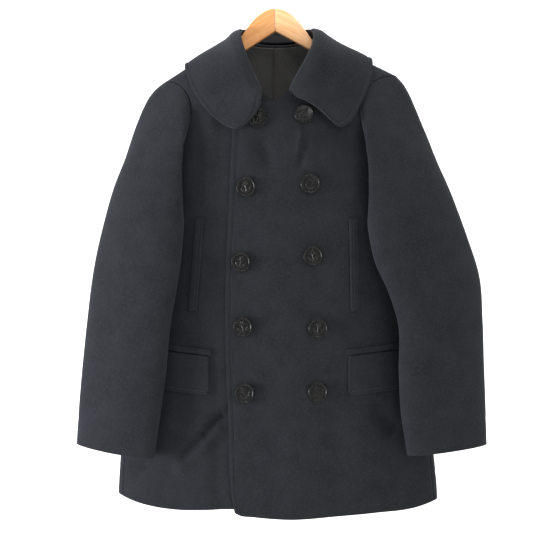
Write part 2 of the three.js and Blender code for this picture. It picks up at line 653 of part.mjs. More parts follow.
/** One section of the collar, from the leaf's edge over the fold to the neck seam. */
function collarSection(side, edge, at) {
  const value = (table, name) => along(table, 'at', name, at);
  const seam = { x: side * value(COLLAR_SEAM, 'x'), root: rootOf(value(COLLAR_SEAM, 'drop')) };
  const rim = { x: side * value(edge, 'x'), root: rootOf(value(edge, 'drop')) };
  const stand = value(COLLAR_SEAM, 'stand');
  const raised = value(COLLAR_SEAM, 'lift');
  const rise = ridgeNormal(seam.x, seam.root).add(new THREE.Vector3(0, 0, STAND_SET.up)).normalize();
  const foot = ridgePoint(seam.x, seam.root);
  const lean = new THREE.Vector3(-side * value(edge, 'lean'), 0, 0);
  const standPoint = (share) => (
    foot.clone().addScaledVector(rise, STAND_SET.off + stand * share).addScaledVector(lean, share)
  );
  const flat = value(edge, 'flat');
  const rest = side > 0 ? LEAF_REST.left : LEAF_REST.right;
  const leaf = LEAF_STOPS.map((share) => {
    const x = mix(seam.x + lean.x, rim.x, share) - side * value(edge, 'bow') * Math.sin(Math.PI * share);
    const root = mix(seam.root, rim.root, share);
    const settle = stand * Math.pow(Math.max(1 - share / flat, 0), LEAF_SETTLE.power);
    const high = COLLAR_THICK / 2 + rest + settle + raised * ease(share / LEAF_SETTLE.raised);
    return ridgePoint(x, root).addScaledVector(ridgeNormal(x, root), high);
  });
  return [...leaf.reverse(), ...STAND_STOPS.map(standPoint)];
}

/** The roll-over collar, from the wearer's right front end round the neck to the left. */
function buildCollar() {
  const last = COLLAR_SEAM.length - 1;
  const stops = steps(last * COLLAR_STEPS).map((share) => share * last);
  const rightRows = [...stops].reverse().map((at) => collarSection(-1, COLLAR_EDGE.right, at));
  const leftRows = stops.slice(1).map((at) => collarSection(1, COLLAR_EDGE.left, at));
  const middle = [...rightRows, ...leftRows];
  const normals = middle.map((row, j) => row.map((point, i) => {
    const across = row[Math.min(i + 1, row.length - 1)].clone().sub(row[Math.max(i - 1, 0)]);
    const up = middle[Math.min(j + 1, middle.length - 1)][i].clone().sub(middle[Math.max(j - 1, 0)][i]);
    return facing(across, up);
  }));
  const half = COLLAR_THICK / 2;
  addPiece('collar', wallBetween(moved(middle, normals, half), moved(middle, normals, -half)), WOOL);
}

/** A rectangle of spots on the front or the back, from its x limits and its z at each x. */
function patch(xs, low, high, rows, behind = false) {
  return steps(rows).map((share) => xs.map((x) => {
    const z = mix(low(x), high(x), share);
    return { angle: angleAt(x, z, behind), z };
  }));
}

/** What shows inside the neck: the upper part of the back lining. */
function buildNeckInside() {
  const inside = () => -(CLOTH + LINING_GAP);
  const below = (x) => (Math.abs(x) < NECK_HALF ? LINING_BELOW.neck : LINING_BELOW.shoulder);
  const liningTop = (x) => topAt(x, true) - below(x);
  const liningGrid = patch(LINING_X, () => LINING_LOW_Z, liningTop, LINING_ROWS, true);
  addPiece('back_lining', bodyWall(liningGrid, LINING_THICK, inside), LINING);
}

/** The outward shift of a pocket piece from the body's surface, over a front that may be sunk. */
function pocketLift(side) {
  const sink = side < 0 ? underSink : () => 0;
  return (x, z) => POCKET_SINK * sink(x, z) + POCKET_LIFT + POCKET_THICK;
}

/** An upright welt for a hand-warmer pocket. */
function buildWelt(name, side, place) {
  const rows = steps(WELT.rows).map((share) => {
    const z = mix(WELT.bottom, WELT.top, share);
    const start = mix(place.bottom, place.top, share);
    const xs = [start, start + (side * WELT.width) / 2, start + side * WELT.width];
    if (side < 0) xs.reverse();
    return xs.map((x) => ({ angle: angleAt(x, z), z }));
  });
  addPiece(`welt_${name}`, bodyWall(rows, POCKET_THICK, pocketLift(side)), WOOL);
}

/** A strip round the front towards the side, from x, between two heights, of a given length. */
function sideStrip(side, startX, top, low, length, rows) {
  const count = FLAP.columns;
  return steps(rows).map((rise) => {
    const level = mix(low, top, rise);
    const spots = [{ angle: angleAt(startX, level), z: level }];
    for (let index = 1; index <= count; index += 1) {
      const z = level + (FLAP.tilt * length * index) / count;
      const before = spots[index - 1];
      const here = bodyPoint(before.angle, before.z);
      const per = bodyPoint(before.angle + side, before.z).distanceTo(here);
      spots.push({ angle: before.angle + (side * length) / count / per, z });
    }
    return side < 0 ? spots.reverse() : spots;
  });
}

/** A lower pocket's flap and the jet above it. */
function buildPocket(name, side, startX) {
  const flap = sideStrip(side, startX, FLAP.top, FLAP.bottom, FLAP.length, FLAP.rows);
  addPiece(`flap_${name}`, bodyWall(flap, POCKET_THICK, pocketLift(side)), WOOL);
  const low = FLAP.top + JET.above;
  const jetX = startX - side * JET.inset;
  const jet = sideStrip(side, jetX, low + JET.height, low, FLAP.length + JET.inset, 1);
  addPiece(`jet_${name}`, bodyWall(jet, POCKET_THICK, pocketLift(side)), WOOL);
}

/** One shanked button, its axis along the cloth's outward direction. */
function buildButton(name, place) {
  const { radius, rim, high, dish, lift, stand, shank, segments } = BUTTON;
  const { base, low, round, inner, top } = BUTTON_EDGE;
  const profile = [
    [0, lift], [shank, lift], [shank, stand], [radius - base, stand], [radius, stand + low],
    [radius, stand + high - round], [radius - round, stand + high], [rim, stand + high - top],
    [rim - inner, stand + dish], [0, stand + dish],
  ];
  const geometry = new THREE.LatheGeometry(profile.map(([r, h]) => new THREE.Vector2(r, h)), segments);
  const mesh = addPiece(name, geometry, HORN);
  const angle = angleAt(place.x, place.z);
  mesh.position.copy(bodyPoint(angle, place.z));
  mesh.quaternion.setFromUnitVectors(new THREE.Vector3(0, 1, 0), bodyNormal(angle, place.z));
}

/** One wooden half of the hanger, from the mitre at the middle to the end of its arm. */
function buildHangerHalf(name, shoulder) {
  const { side, tip } = shoulder;
  const { start, x: places, inset, high, corner } = HANGER_ARM;
  const end = tip - inset;
  const armTop = (x) => ridge(side * x) - HANGER_ARM_DROP;
  const armX = [start, ...places, end - corner];
  const endTop = armTop(end);
  const upper = [...HANGER_CROWN.map(({ x, z }) => [Math.max(x, SEAM_GAP / 2), z]),
    ...armX.map((x) => [x, armTop(x)])];
  const lower = [[end, endTop - corner], [end, endTop - high + corner],
    [end - corner, endTop - high], [SEAM_GAP / 2, HANGER_APEX_Z]];
  const outline = [...upper, ...lower].map(([x, z]) => new THREE.Vector2(side * x, z));
  const geometry = new THREE.ExtrudeGeometry(new THREE.Shape(outline), {
    depth: HANGER_THICK - 2 * HANGER_BEVEL,
    steps: 1,
    bevelEnabled: true,
    bevelThickness: HANGER_BEVEL,
    bevelSize: HANGER_BEVEL,
    bevelOffset: -HANGER_BEVEL,
    bevelSegments: 1,
  });
  geometry.translate(0, 0, -(HANGER_THICK - 2 * HANGER_BEVEL) / 2);
  geometry.rotateX(Math.PI / 2);
  addPiece(`hanger_half_${name}`, geometry, WOOD);
}

buildFronts();
buildBack();
buildSleeve('left', SHOULDER.left, SLEEVE_RINGS.left);
buildSleeve('right', SHOULDER.right, SLEEVE_RINGS.right);
buildCollar();
buildNeckInside();
buildWelt('left', 1, WELT_X.left);
buildWelt('right', -1, WELT_X.right);
buildPocket('left', 1, FLAP_X.left);
buildPocket('right', -1, FLAP_X.right);
BUTTON_PLACES.forEach((place, index) => buildButton(`button_${String(index + 1).padStart(2, '0')}`, place));
buildHangerHalf('left', SHOULDER.left);
buildHangerHalf('right', SHOULDER.right);

export default group;
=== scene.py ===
"""A double-breasted wool pea coat hanging on a plain wooden hanger.

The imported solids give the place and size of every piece. Here each cut piece of cloth gets its
folded surface, rolled edges, stitching and felted wool, and the buttons and the hanger get their
turned and polished forms. Sizes are in millimetres and become metres when a mesh is made.
"""

import logging
import math
from dataclasses import dataclass, field
from enum import Enum
from typing import Callable, Iterable, Optional, Sequence

import bmesh
import bpy
import numpy as np
from mathutils import Matrix, Vector


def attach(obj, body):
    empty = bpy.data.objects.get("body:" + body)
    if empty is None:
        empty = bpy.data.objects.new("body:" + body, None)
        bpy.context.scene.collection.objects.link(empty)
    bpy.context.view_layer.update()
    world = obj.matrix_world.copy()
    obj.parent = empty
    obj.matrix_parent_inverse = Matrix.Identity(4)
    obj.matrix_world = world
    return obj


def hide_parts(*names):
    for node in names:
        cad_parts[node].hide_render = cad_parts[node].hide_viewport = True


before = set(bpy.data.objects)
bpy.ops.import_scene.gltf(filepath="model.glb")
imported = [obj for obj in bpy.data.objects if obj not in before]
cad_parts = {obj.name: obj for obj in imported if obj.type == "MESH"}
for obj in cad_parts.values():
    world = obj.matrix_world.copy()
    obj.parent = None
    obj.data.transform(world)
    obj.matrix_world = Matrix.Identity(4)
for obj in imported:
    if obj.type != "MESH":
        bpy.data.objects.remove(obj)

LOG = logging.getLogger("pea_coat")
MM = 0.001
BODY = "root"
Array = np.ndarray


# small helpers: numbers, tables, meshes and nodes


def mix(low: Array, high: Array, share: Array) -> Array:
    """Mix two numbers straight, by a share from 0 to 1."""
    return low + (high - low) * share


def ease(share: Array) -> Array:
    """Hold a share between 0 and 1 and give it soft ends."""
    held = np.clip(share, 0.0, 1.0)
    return held * held * (3 - 2 * held)


def unit(vectors: Array) -> Array:
    """Give each vector of an array the length 1."""
    size = np.linalg.norm(vectors, axis=-1, keepdims=True)
    return vectors / np.maximum(size, 1e-9)


def stack(x: Array, y: Array, z: Array) -> Array:
    """Join three coordinate arrays of one shape into an array of points."""
    return np.stack(np.broadcast_arrays(x, y, z), axis=-1).astype(float)


class Table:
    """A short table with named columns, read smoothly along its first column."""

    def __init__(self, columns: str, rows: Sequence[Sequence[float]]) -> None:
        """Keep the rows.

        Args:
            columns: the names of the columns, the key first.
            rows: one sequence of numbers for each row, the keys rising.
        """
        self.columns = columns.split()
        self.values = np.array(rows, float)

    def column(self, name: str) -> Array:
        """Return one column as it stands."""
        return self.values[:, self.columns.index(name)]

    def read(self, name: str, place: Array) -> Array:
        """Return the smooth value of a column.

        Args:
            name: the column.
            place: where to read it, on the key's scale.

        Returns:
            The values, in the shape of place.
        """
        keys = self.values[:, 0]
        values = self.column(name)
        gap = np.diff(keys)
        rise = np.diff(values) / gap
        slope = np.concatenate([rise[:1], rise[-1:]]) if len(values) == 2 else np.concatenate([
            rise[:1], (rise[:-1] * gap[1:] + rise[1:] * gap[:-1]) / (gap[1:] + gap[:-1]), rise[-1:]])
        held = np.clip(place, keys[0], keys[-1])
        row = np.clip(np.searchsorted(keys, held, side="left") - 1, 0, len(gap) - 1)
        wide = gap[row]
        t = (held - keys[row]) / wide
        t2, t3 = t * t, t * t * t
        return ((2 * t3 - 3 * t2 + 1) * values[row] + (t3 - 2 * t2 + t) * wide * slope[row]
                + (3 * t2 - 2 * t3) * values[row + 1] + (t3 - t2) * wide * slope[row + 1])


def linear(code: str) -> tuple[float, float, float, float]:
    """Turn an sRGB hex colour into the linear colour that a shader wants.

    Args:
        code: the colour, such as "#14171f".

    Returns:
        Red, green, blue and alpha.
    """
    parts = [int(code[i:i + 2], 16) / 255 for i in (1, 3, 5)]
    return tuple(p / 12.92 if p <= 0.04045 else ((p + 0.055) / 1.055) ** 2.4 for p in parts) + (1.0,)


def add_node(tree: bpy.types.NodeTree, kind: str, settings: Optional[dict] = None,
             links: Optional[dict] = None) -> bpy.types.Node:
    """Add a node with its settings and links.

    Args:
        tree: the tree to add it to.
        kind: the node's type name.
        settings: values by property name, or by the name or number of an input.
        links: output sockets by the name or number of the input that they feed.

    Returns:
        The new node.
    """
    node = tree.nodes.new(kind)
    for key, value in (settings or {}).items():
        if isinstance(key, str) and hasattr(node, key):
            setattr(node, key, value)
        else:
            node.inputs[key].default_value = value
    for key, socket in (links or {}).items():
        tree.links.new(socket, node.inputs[key])
    return node


def make_object(name: str, points: Array, faces: Iterable[Sequence[int]], material: bpy.types.Material,
                scale: float = MM) -> bpy.types.Object:
    """Make a smooth closed mesh object at the origin, its faces outward.

    Args:
        name: the object's name.
        points: its corners, in millimetres.
        faces: the corner numbers of each face.
        material: its material.
        scale: metres for each unit of the points.

    Returns:
        The new object, linked to the scene.
    """
    mesh = bpy.data.meshes.new(name)
    mesh.from_pydata((np.asarray(points, float) * scale).tolist(), [], [list(face) for face in faces])
    body = bmesh.new()
    body.from_mesh(mesh)
    if body.calc_volume(signed=True) < 0:
        bmesh.ops.reverse_faces(body, faces=body.faces[:])
    body.to_mesh(mesh)
    body.free()
    mesh.materials.append(material)
    mesh.shade_smooth()
    thing = bpy.data.objects.new(name, mesh)
    bpy.context.scene.collection.objects.link(thing)
    return thing


def settle_piece(thing: bpy.types.Object, nodes: Sequence[str] = ()) -> bpy.types.Object:
    """Let a finished piece ride on the coat and stand for its nodes.

    Args:
        thing: the finished piece.
        nodes: the nodes that it replaces.

    Returns:
        The same piece.
    """
    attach(thing, BODY)
    if nodes:
        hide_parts(*nodes)
    LOG.info("%s: %d faces", thing.name, len(thing.data.polygons))
    return thing


# the coat's form, the same as that of its solids

SECTIONS = Table("z half middle front back", [
    (-870, 268, 4, 72, 78), (-805, 266, 4, 72, 78), (-745, 261, 3, 72, 78), (-600, 240, 3, 71, 78),
    (-450, 218, 3, 70, 78), (-330, 207, 3, 69, 76), (-290, 206, 3, 68, 75), (-230, 208, 4, 68, 74),
    (-160, 220, 5, 68, 72), (-90, 236, 6, 68, 70), (0, 242, 6, 68, 70)])
COLLAR_SEAM = Table("at x drop stand lift", [
    (0, 0, 12, 32, 0), (1, 26, 11, 31, 0), (2, 47, 7.5, 21, 0), (3, 61, 2.5, 14, 0), (4, 66, -0.5, 11, 0.6),
    (5, 65, -12, 11, 0.6), (6, 58, -31, 11, 0), (7, 49, -52, 10, 0), (8, 39, -74, 9, 1), (9, 31, -90, 9, 4),
    (10, 26, -101, 10, 9), (11, 24, -108, 10, 10)])
SIDE_SEAM_ANGLE = 75.0
ARMPIT_Z = -296.0
RIDGE_Z = -45.5
RIDGE_SOFT = 14.0
NECK_HALF = 66.0
NECK_CUT = {"beside": 3.0, "below": 1.0}


@dataclass(frozen=True)
class Shoulder:
    """One shoulder: which side it is on, how it slopes and how its armhole is cut."""

    side: int
    slope: float
    tip: float
    inset: float


LEFT = Shoulder(1, 0.49, 203, 64)
RIGHT = Shoulder(-1, 0.64, 186, 52)


@dataclass(frozen=True)
class CoatForm:
    """The surface that the coat's panels lie on: a hanging body under a ridge of shoulders."""

    neck_round: tuple[float, float, float] = (60, 50, 60)
    tip_round: tuple[float, float, float] = (190, 40, 90)
    chest_fall: float = 250
    near_ridge: float = 40
    armhole_crowd: float = 1.6
    front_armhole_power: float = 0.75
    back_armhole_rise: float = 0.5
    back_armhole_scoop: float = 4

    def ridge(self, x: Array) -> Array:
        """Return the height of the shoulder ridge above a place across the coat."""
        slope = np.where(np.asarray(x) > 0, LEFT.slope, RIGHT.slope)
        past = np.maximum(np.abs(x) - NECK_HALF + RIDGE_SOFT, 0)
        return RIDGE_Z - slope * (np.hypot(past, RIDGE_SOFT) - RIDGE_SOFT)

    def depth(self, x: Array, z: Array, full: Array) -> Array:
        """Return how far the cloth stands from the hanger's plane, before the section's rounding."""
        drop = np.maximum(self.ridge(x) - z, 0)
        out = ease((np.abs(x) - self.neck_round[0]) / (self.tip_round[0] - self.neck_round[0]))
        deep = mix(self.neck_round[1], self.tip_round[1], out)
        fall = mix(self.neck_round[2], self.tip_round[2], out)
        share = np.minimum(drop / fall, 1)
        return deep * np.sqrt(share * (2 - share)) + (full - deep) * ease(drop / self.chest_fall)

    def point(self, angle: Array, z: Array) -> Array:
        """Return the surface's point at an angle, 0 in front and 180 behind, and a height."""
        turn = np.radians(angle)
        x = SECTIONS.read("middle", z) + SECTIONS.read("half", z) * np.sin(turn)
        ahead = np.cos(turn)
        full = np.where(ahead > 0, SECTIONS.read("front", z), SECTIONS.read("back", z))
        return stack(x, -ahead * self.depth(x, z, full), z)

    def angle_at(self, x: Array, z: Array, behind: Array = False) -> Array:
        """Return the angle at which the front, or the back, has this x at this height."""
        share = (x - SECTIONS.read("middle", z)) / SECTIONS.read("half", z)
        angle = np.degrees(np.arcsin(np.clip(share, -1, 1)))
        return np.where(behind, 180 - angle, angle)

    def ridge_point(self, x: Array, root: Array) -> Array:
        """Return the surface's point over the shoulder, by x and the root of the drop."""
        x, root = np.broadcast_arrays(np.asarray(x, float), np.asarray(root, float))
        z = self.ridge(x) - root * root
        return self.point(self.angle_at(x, z, root > 0), z)

    def ridge_normal(self, x: Array, root: Array) -> Array:
        """Return the outward direction of the surface near the ridge."""
        step = 0.4
        across = self.ridge_point(x + step, root) - self.ridge_point(x - step, root)
        back = self.ridge_point(x, root - step) - self.ridge_point(x, root + step)
        return unit(np.cross(back, across))

    def normal(self, angle: Array, z: Array) -> Array:
        """Return the outward direction of the surface."""
        here = self.point(angle, z)
        drop = self.ridge(here[..., 0]) - z
        behind = np.cos(np.radians(angle)) < 0
        root = np.sqrt(np.maximum(drop, 0)) * np.where(behind, 1, -1)
        across = self.point(angle + 0.5, z) - self.point(angle - 0.5, z)
        up = self.point(angle, z + 1) - self.point(angle, z - 1)
        far = unit(np.cross(across, up))
        near = self.ridge_normal(here[..., 0], root)
        blend = ease((drop - self.near_ridge + 8) / 8)[..., None]
        return unit(near * (1 - blend) + far * blend)

    def neck_drop(self, x: Array, behind: bool) -> Array:
        """Return the neck seam's drop below the ridge, for a distance from the middle."""
        drops = COLLAR_SEAM.column("drop")
        kept = drops > -1 if behind else drops < 0
        pairs = sorted(zip(COLLAR_SEAM.column("x")[kept], np.abs(drops[kept])))
        return Table("x drop", pairs).read("drop", np.abs(x) + NECK_CUT["beside"])

    def top_at(self, x: Array, behind: bool) -> Array:
        """Return the top of the back or of a front: neck seam, then shoulder ridge."""
        cut = self.ridge(x) - np.maximum(self.neck_drop(x, behind) - NECK_CUT["below"], 0)
        return np.where(np.abs(x) >= NECK_HALF, self.ridge(x), cut)

    def armhole_z(self, shoulder: Shoulder, rise: Array) -> Array:
        """Return the armhole's height at a share of its rise."""
        tip = self.ridge(shoulder.side * shoulder.tip)
        return mix(ARMPIT_Z, tip, 1 - np.power(1 - rise, self.armhole_crowd))

    def armhole_line(self, shoulder: Shoulder, rise: Array, inset: Array) -> Array:
        """Return the angle of the straight line from armpit to shoulder tip, moved in by some millimetres."""
        pit = self.point(shoulder.side * SIDE_SEAM_ANGLE, ARMPIT_Z)[..., 0] * shoulder.side
        straight = mix(pit, shoulder.tip, rise)
        return self.angle_at(shoulder.side * (straight - inset), self.armhole_z(shoulder, rise))

    def front_armhole(self, shoulder: Shoulder, rise: Array) -> Array:
        """Return the front armhole's angle at a share of its rise."""
        bow = np.power(np.maximum(np.sin(np.pi * rise), 0), self.front_armhole_power)
        return self.armhole_line(shoulder, rise, shoulder.inset * bow)

    def back_armhole(self, shoulder: Shoulder, rise: Array) -> Array:
        """Return the back armhole's angle at a share of its rise."""
        z = self.armhole_z(shoulder, rise)
        tip = np.abs(self.angle_at(shoulder.side * shoulder.tip, z, True) - (0 if shoulder.side > 0 else 360))
        swing = mix(SIDE_SEAM_ANGLE, tip, ease(rise / self.back_armhole_rise))
        return shoulder.side * (swing + self.back_armhole_scoop * np.sin(np.pi * rise))


FORM = CoatForm()


# folds


class Side(Enum):
    """Which face of the coat a fold lies on."""

    FRONT = -1
    BACK = 1


@dataclass(frozen=True)
class Fold:
    """A soft ridge, or a trough where its height is below 0, along a line seen from one side."""

    start: tuple[float, float]
    end: tuple[float, float]
    width: float
    height: float
    fade: float = 0.3
    side: Side = Side.FRONT

    def lift(self, x: Array, z: Array) -> Array:
        """Return how far the fold lifts the cloth at each place.

        Args:
            x: places across the coat.
            z: their heights.

        Returns:
            The lift in millimetres.
        """
        ax, az = self.start
        dx, dz = self.end[0] - ax, self.end[1] - az
        long = math.hypot(dx, dz)
        share = ((x - ax) * dx + (z - az) * dz) / (long * long)
        held = np.clip(share, 0, 1)
        gap = np.hypot(x - ax - held * dx, z - az - held * dz)
        ends = ease(np.minimum(held, 1 - held) / max(self.fade, 1e-3) + 0.15)
        return self.height * np.exp(-np.square(gap / self.width)) * ends


@dataclass(frozen=True)
class Drape:
    """All the folds of a group of pieces, and the slow swell that hanging cloth has."""

    folds: tuple[Fold, ...]
    swell: float = 0.7

    def lift(self, points: Array, normals: Array) -> Array:
        """Return the lift of each point of a surface, in millimetres."""
        x, z = points[..., 0], points[..., 2]
        total = self.swell * (np.sin(x / 31 + z / 97 + 1.3) * np.sin(z / 74 - x / 143 + 0.4)
                              + 0.6 * np.sin(x / 17 - z / 210 + 2.1) * np.sin(z / 129 + 1.9))
        for fold in self.folds:
            faces = ease(normals[..., 1] * fold.side.value / 0.35)
            total = total + faces * fold.lift(x, z)
        return total


BODY_DRAPE = Drape((
    # the hollow beside the wearer's left pocket
    Fold((156, -662), (200, -704), 17, -8.5, 0.2),
    Fold((120, -690), (170, -790), 26, 2.0),
    # the cross trough above the fourth pair of buttons
    Fold((-38, -508), (106, -510), 10, -3.2),
    Fold((-30, -528), (98, -528), 13, 2.0),
    # pulls from the top pair of buttons
    Fold((42, -204), (36, -254), 6, 2.6),
    Fold((51, -218), (38, -274), 6, -3.4),
    Fold((-24, -214), (-6, -276), 11, -3.8),
    Fold((-54, -212), (-44, -268), 11, 1.6),
    # long hanging lines
    Fold((-118, -210), (-132, -330), 12, -2.4),
    Fold((140, -180), (150, -330), 13, -2.2),
    Fold((20, -560), (30, -820), 30, 1.4),
    Fold((96, -600), (104, -820), 22, -1.2),
    Fold((-20, -330), (-16, -480), 26, 1.1),
    Fold((150, -360), (146, -560), 16, -1.6),
    # the back, plainly hung
    Fold((-90, -200), (-110, -780), 34, 2.6, side=Side.BACK),
    Fold((20, -260), (10, -800), 42, -1.8, side=Side.BACK),
    Fold((110, -220), (128, -800), 34, 2.4, side=Side.BACK),
    Fold((-170, -420), (-180, -800), 26, -2.0, side=Side.BACK),
    Fold((180, -420), (190, -800), 26, -1.8, side=Side.BACK),
))
SLEEVE_DRAPE = Drape((
    Fold((262, -330), (214, -372), 12, -1.7),
    Fold((290, -420), (222, -448), 14, -1.6),
    Fold((300, -446), (226, -486), 14, 1.5),
    Fold((300, -560), (226, -536), 16, -1.3),
    Fold((250, -200), (262, -360), 18, 1.2),
    Fold((276, -600), (270, -720), 22, 1.1),
    Fold((-232, -240), (-200, -300), 13, -1.5),
    Fold((-262, -380), (-196, -424), 15, -1.6),
    Fold((-270, -404), (-200, -452), 13, 1.4),
    Fold((-284, -520), (-206, -486), 18, -1.4),
    Fold((-262, -560), (-270, -720), 22, 1.2),
    Fold((-214, -180), (-250, -340), 18, 1.2),
    Fold((250, -250), (262, -420), 20, -1.6, side=Side.BACK),
    Fold((-230, -250), (-250, -420), 20, -1.6, side=Side.BACK),
), swell=0.6)


# walls of cloth


@dataclass(frozen=True)
class Wall:
    """A closed wall of cloth over a grid of outer points, its edges turned and round."""

    thickness: float
    edge_rings: int = 3
    widest_share: float = 0.6
    round_share: float = 0.6

    def edges_out(self, outer: Array) -> tuple[Array, Array]:
        """Return each rim point's direction out of the panel, and the width of its first cell."""
        out = np.zeros_like(outer)
        cell = np.full(outer.shape[:2], 1e9)
        for here, there in ((np.s_[0, :], np.s_[1, :]), (np.s_[-1, :], np.s_[-2, :]),
                            (np.s_[:, 0], np.s_[:, 1]), (np.s_[:, -1], np.s_[:, -2])):
            step = outer[here] - outer[there]
            out[here] += unit(step)
            cell[here] = np.minimum(cell[here], np.linalg.norm(step, axis=-1))
        return unit(out), cell

    def build(self, outer: Array, normals: Array) -> tuple[Array, list[tuple[int, int, int, int]]]:
        """Return the wall's points and faces.

        Args:
            outer: the outer points, by row and column.
            normals: their outward directions.

        Returns:
            The points, and the corner numbers of each face.
        """
        rows, columns = outer.shape[:2]
        half = self.thickness / 2
        out, cell = self.edges_out(outer)
        reach = np.minimum(half * self.round_share, cell * self.widest_share)[..., None]
        rim = np.zeros((rows, columns), bool)
        rim[[0, -1], :] = True
        rim[:, [0, -1]] = True
        outer = np.where(rim[..., None], outer - out * reach, outer)
        inner = outer - normals * self.thickness
        loop = ([(0, c) for c in range(columns)] + [(r, columns - 1) for r in range(1, rows)]
                + [(rows - 1, c) for c in range(columns - 2, -1, -1)] + [(r, 0) for r in range(rows - 2, 0, -1)])
        lr, lc = np.array(loop).T
        rings = []
        for ring in range(1, self.edge_rings + 1):
            turn = math.pi * ring / (self.edge_rings + 1)
            rings.append(outer[lr, lc] - normals[lr, lc] * half * (1 - math.cos(turn))
                         + out[lr, lc] * reach[lr, lc] * math.sin(turn))
        points = np.concatenate([outer.reshape(-1, 3), inner.reshape(-1, 3), *rings])
        index = np.arange(rows * columns).reshape(rows, columns)
        a, b, c, d = (index[:-1, :-1], index[:-1, 1:], index[1:, 1:], index[1:, :-1])
        faces = list(zip(a.ravel(), b.ravel(), c.ravel(), d.ravel()))
        back = rows * columns
        faces += list(zip(a.ravel() + back, d.ravel() + back, c.ravel() + back, b.ravel() + back))
        count = len(loop)
        around = index[lr, lc]
        levels = [around] + [2 * back + k * count + np.arange(count) for k in range(self.edge_rings)]
        levels.append(around + back)
        for low, high in zip(levels[:-1], levels[1:]):
            faces += list(zip(np.roll(low, -1), low, high, np.roll(high, -1)))
        return points, faces


def spaced(*stops: float, steps: Sequence[int]) -> Array:
    """Return rising or falling places through the stops, with so many steps between each two."""
    parts = [np.linspace(low, high, count, endpoint=False)
             for low, high, count in zip(stops[:-1], stops[1:], steps)]
    return np.concatenate(parts + [np.array([stops[-1]])])


def grid_area(points: Array) -> float:
    """Return the area of a grid of points, in square metres."""
    across = points[:-1, 1:] - points[:-1, :-1]
    up = points[1:, :-1] - points[:-1, :-1]
    return float(np.linalg.norm(np.cross(across, up), axis=-1).sum()) * MM * MM


def groove(distance: Array, at: float, wide: float = 1.5, deep: float = 0.9, roll: float = 0.45) -> Array:
    """Return the lift of an edge-stitched rim: a rolled edge, then the sunk line of stitches.

    Args:
        distance: how far each point is from the edge.
        at: the stitch line's distance from the edge.
        wide: the sunk line's half width.
        deep: how far it sinks.
        roll: how far the cloth swells between the edge and the line.

    Returns:
        The lift in millimetres.
    """
    swell = roll * np.sin(np.pi * np.clip(distance / at, 0, 1))
    return swell - deep * np.exp(-np.square((distance - at) / wide))


# finishes


def grain_scale(size: float) -> float:
    """Return a noise scale whose features are a size in millimetres, on coordinates in metres."""
    return 1 / (size * MM)


def new_material(name: str) -> tuple[bpy.types.Material, bpy.types.NodeTree, bpy.types.Node]:
    """Make a material with one Principled shader.

    Args:
        name: the finish's name.

    Returns:
        The material, its tree and its shader.
    """
    material = bpy.data.materials.new(name)
    material.use_nodes = True
    tree = material.node_tree
    return material, tree, tree.nodes["Principled BSDF"]


def blend_colours(tree: bpy.types.NodeTree, low: object, high: object, share: bpy.types.NodeSocket,
                  way: str = "MIX") -> bpy.types.NodeSocket:
    """Mix two colours by a socket.

    Args:
        tree: the material's tree.
        low: a hex colour or a colour socket, where the share is 0.
        high: the same, where the share is 1.
        share: the socket that mixes them.
        way: Blender's name of the mix.

    Returns:
        The mixed colour's socket.
    """
    settings, links = {"data_type": "RGBA", "blend_type": way}, {0: share}
    for place, value in ((6, low), (7, high)):
        if isinstance(value, str):
            settings[place] = linear(value)
        else:
            links[place] = value
    node = add_node(tree, "ShaderNodeMix", settings, links)
    return node.outputs[2]


def stretch(tree: bpy.types.NodeTree, value: bpy.types.NodeSocket, low: float, high: float,
            out_low: float = 0.0, out_high: float = 1.0) -> bpy.types.NodeSocket:
    """Spread a socket's values from one range over another.

    Args:
        tree: the material's tree.
        value: the socket to spread.
        low: the value that becomes out_low.
        high: the value that becomes out_high.
        out_low: the new low.
        out_high: the new high.

    Returns:
        The new socket.
    """
    node = add_node(tree, "ShaderNodeMapRange", {"From Min": low, "From Max": high, "To Min": out_low,
                                                 "To Max": out_high}, {"Value": value})
    return node.outputs["Result"]


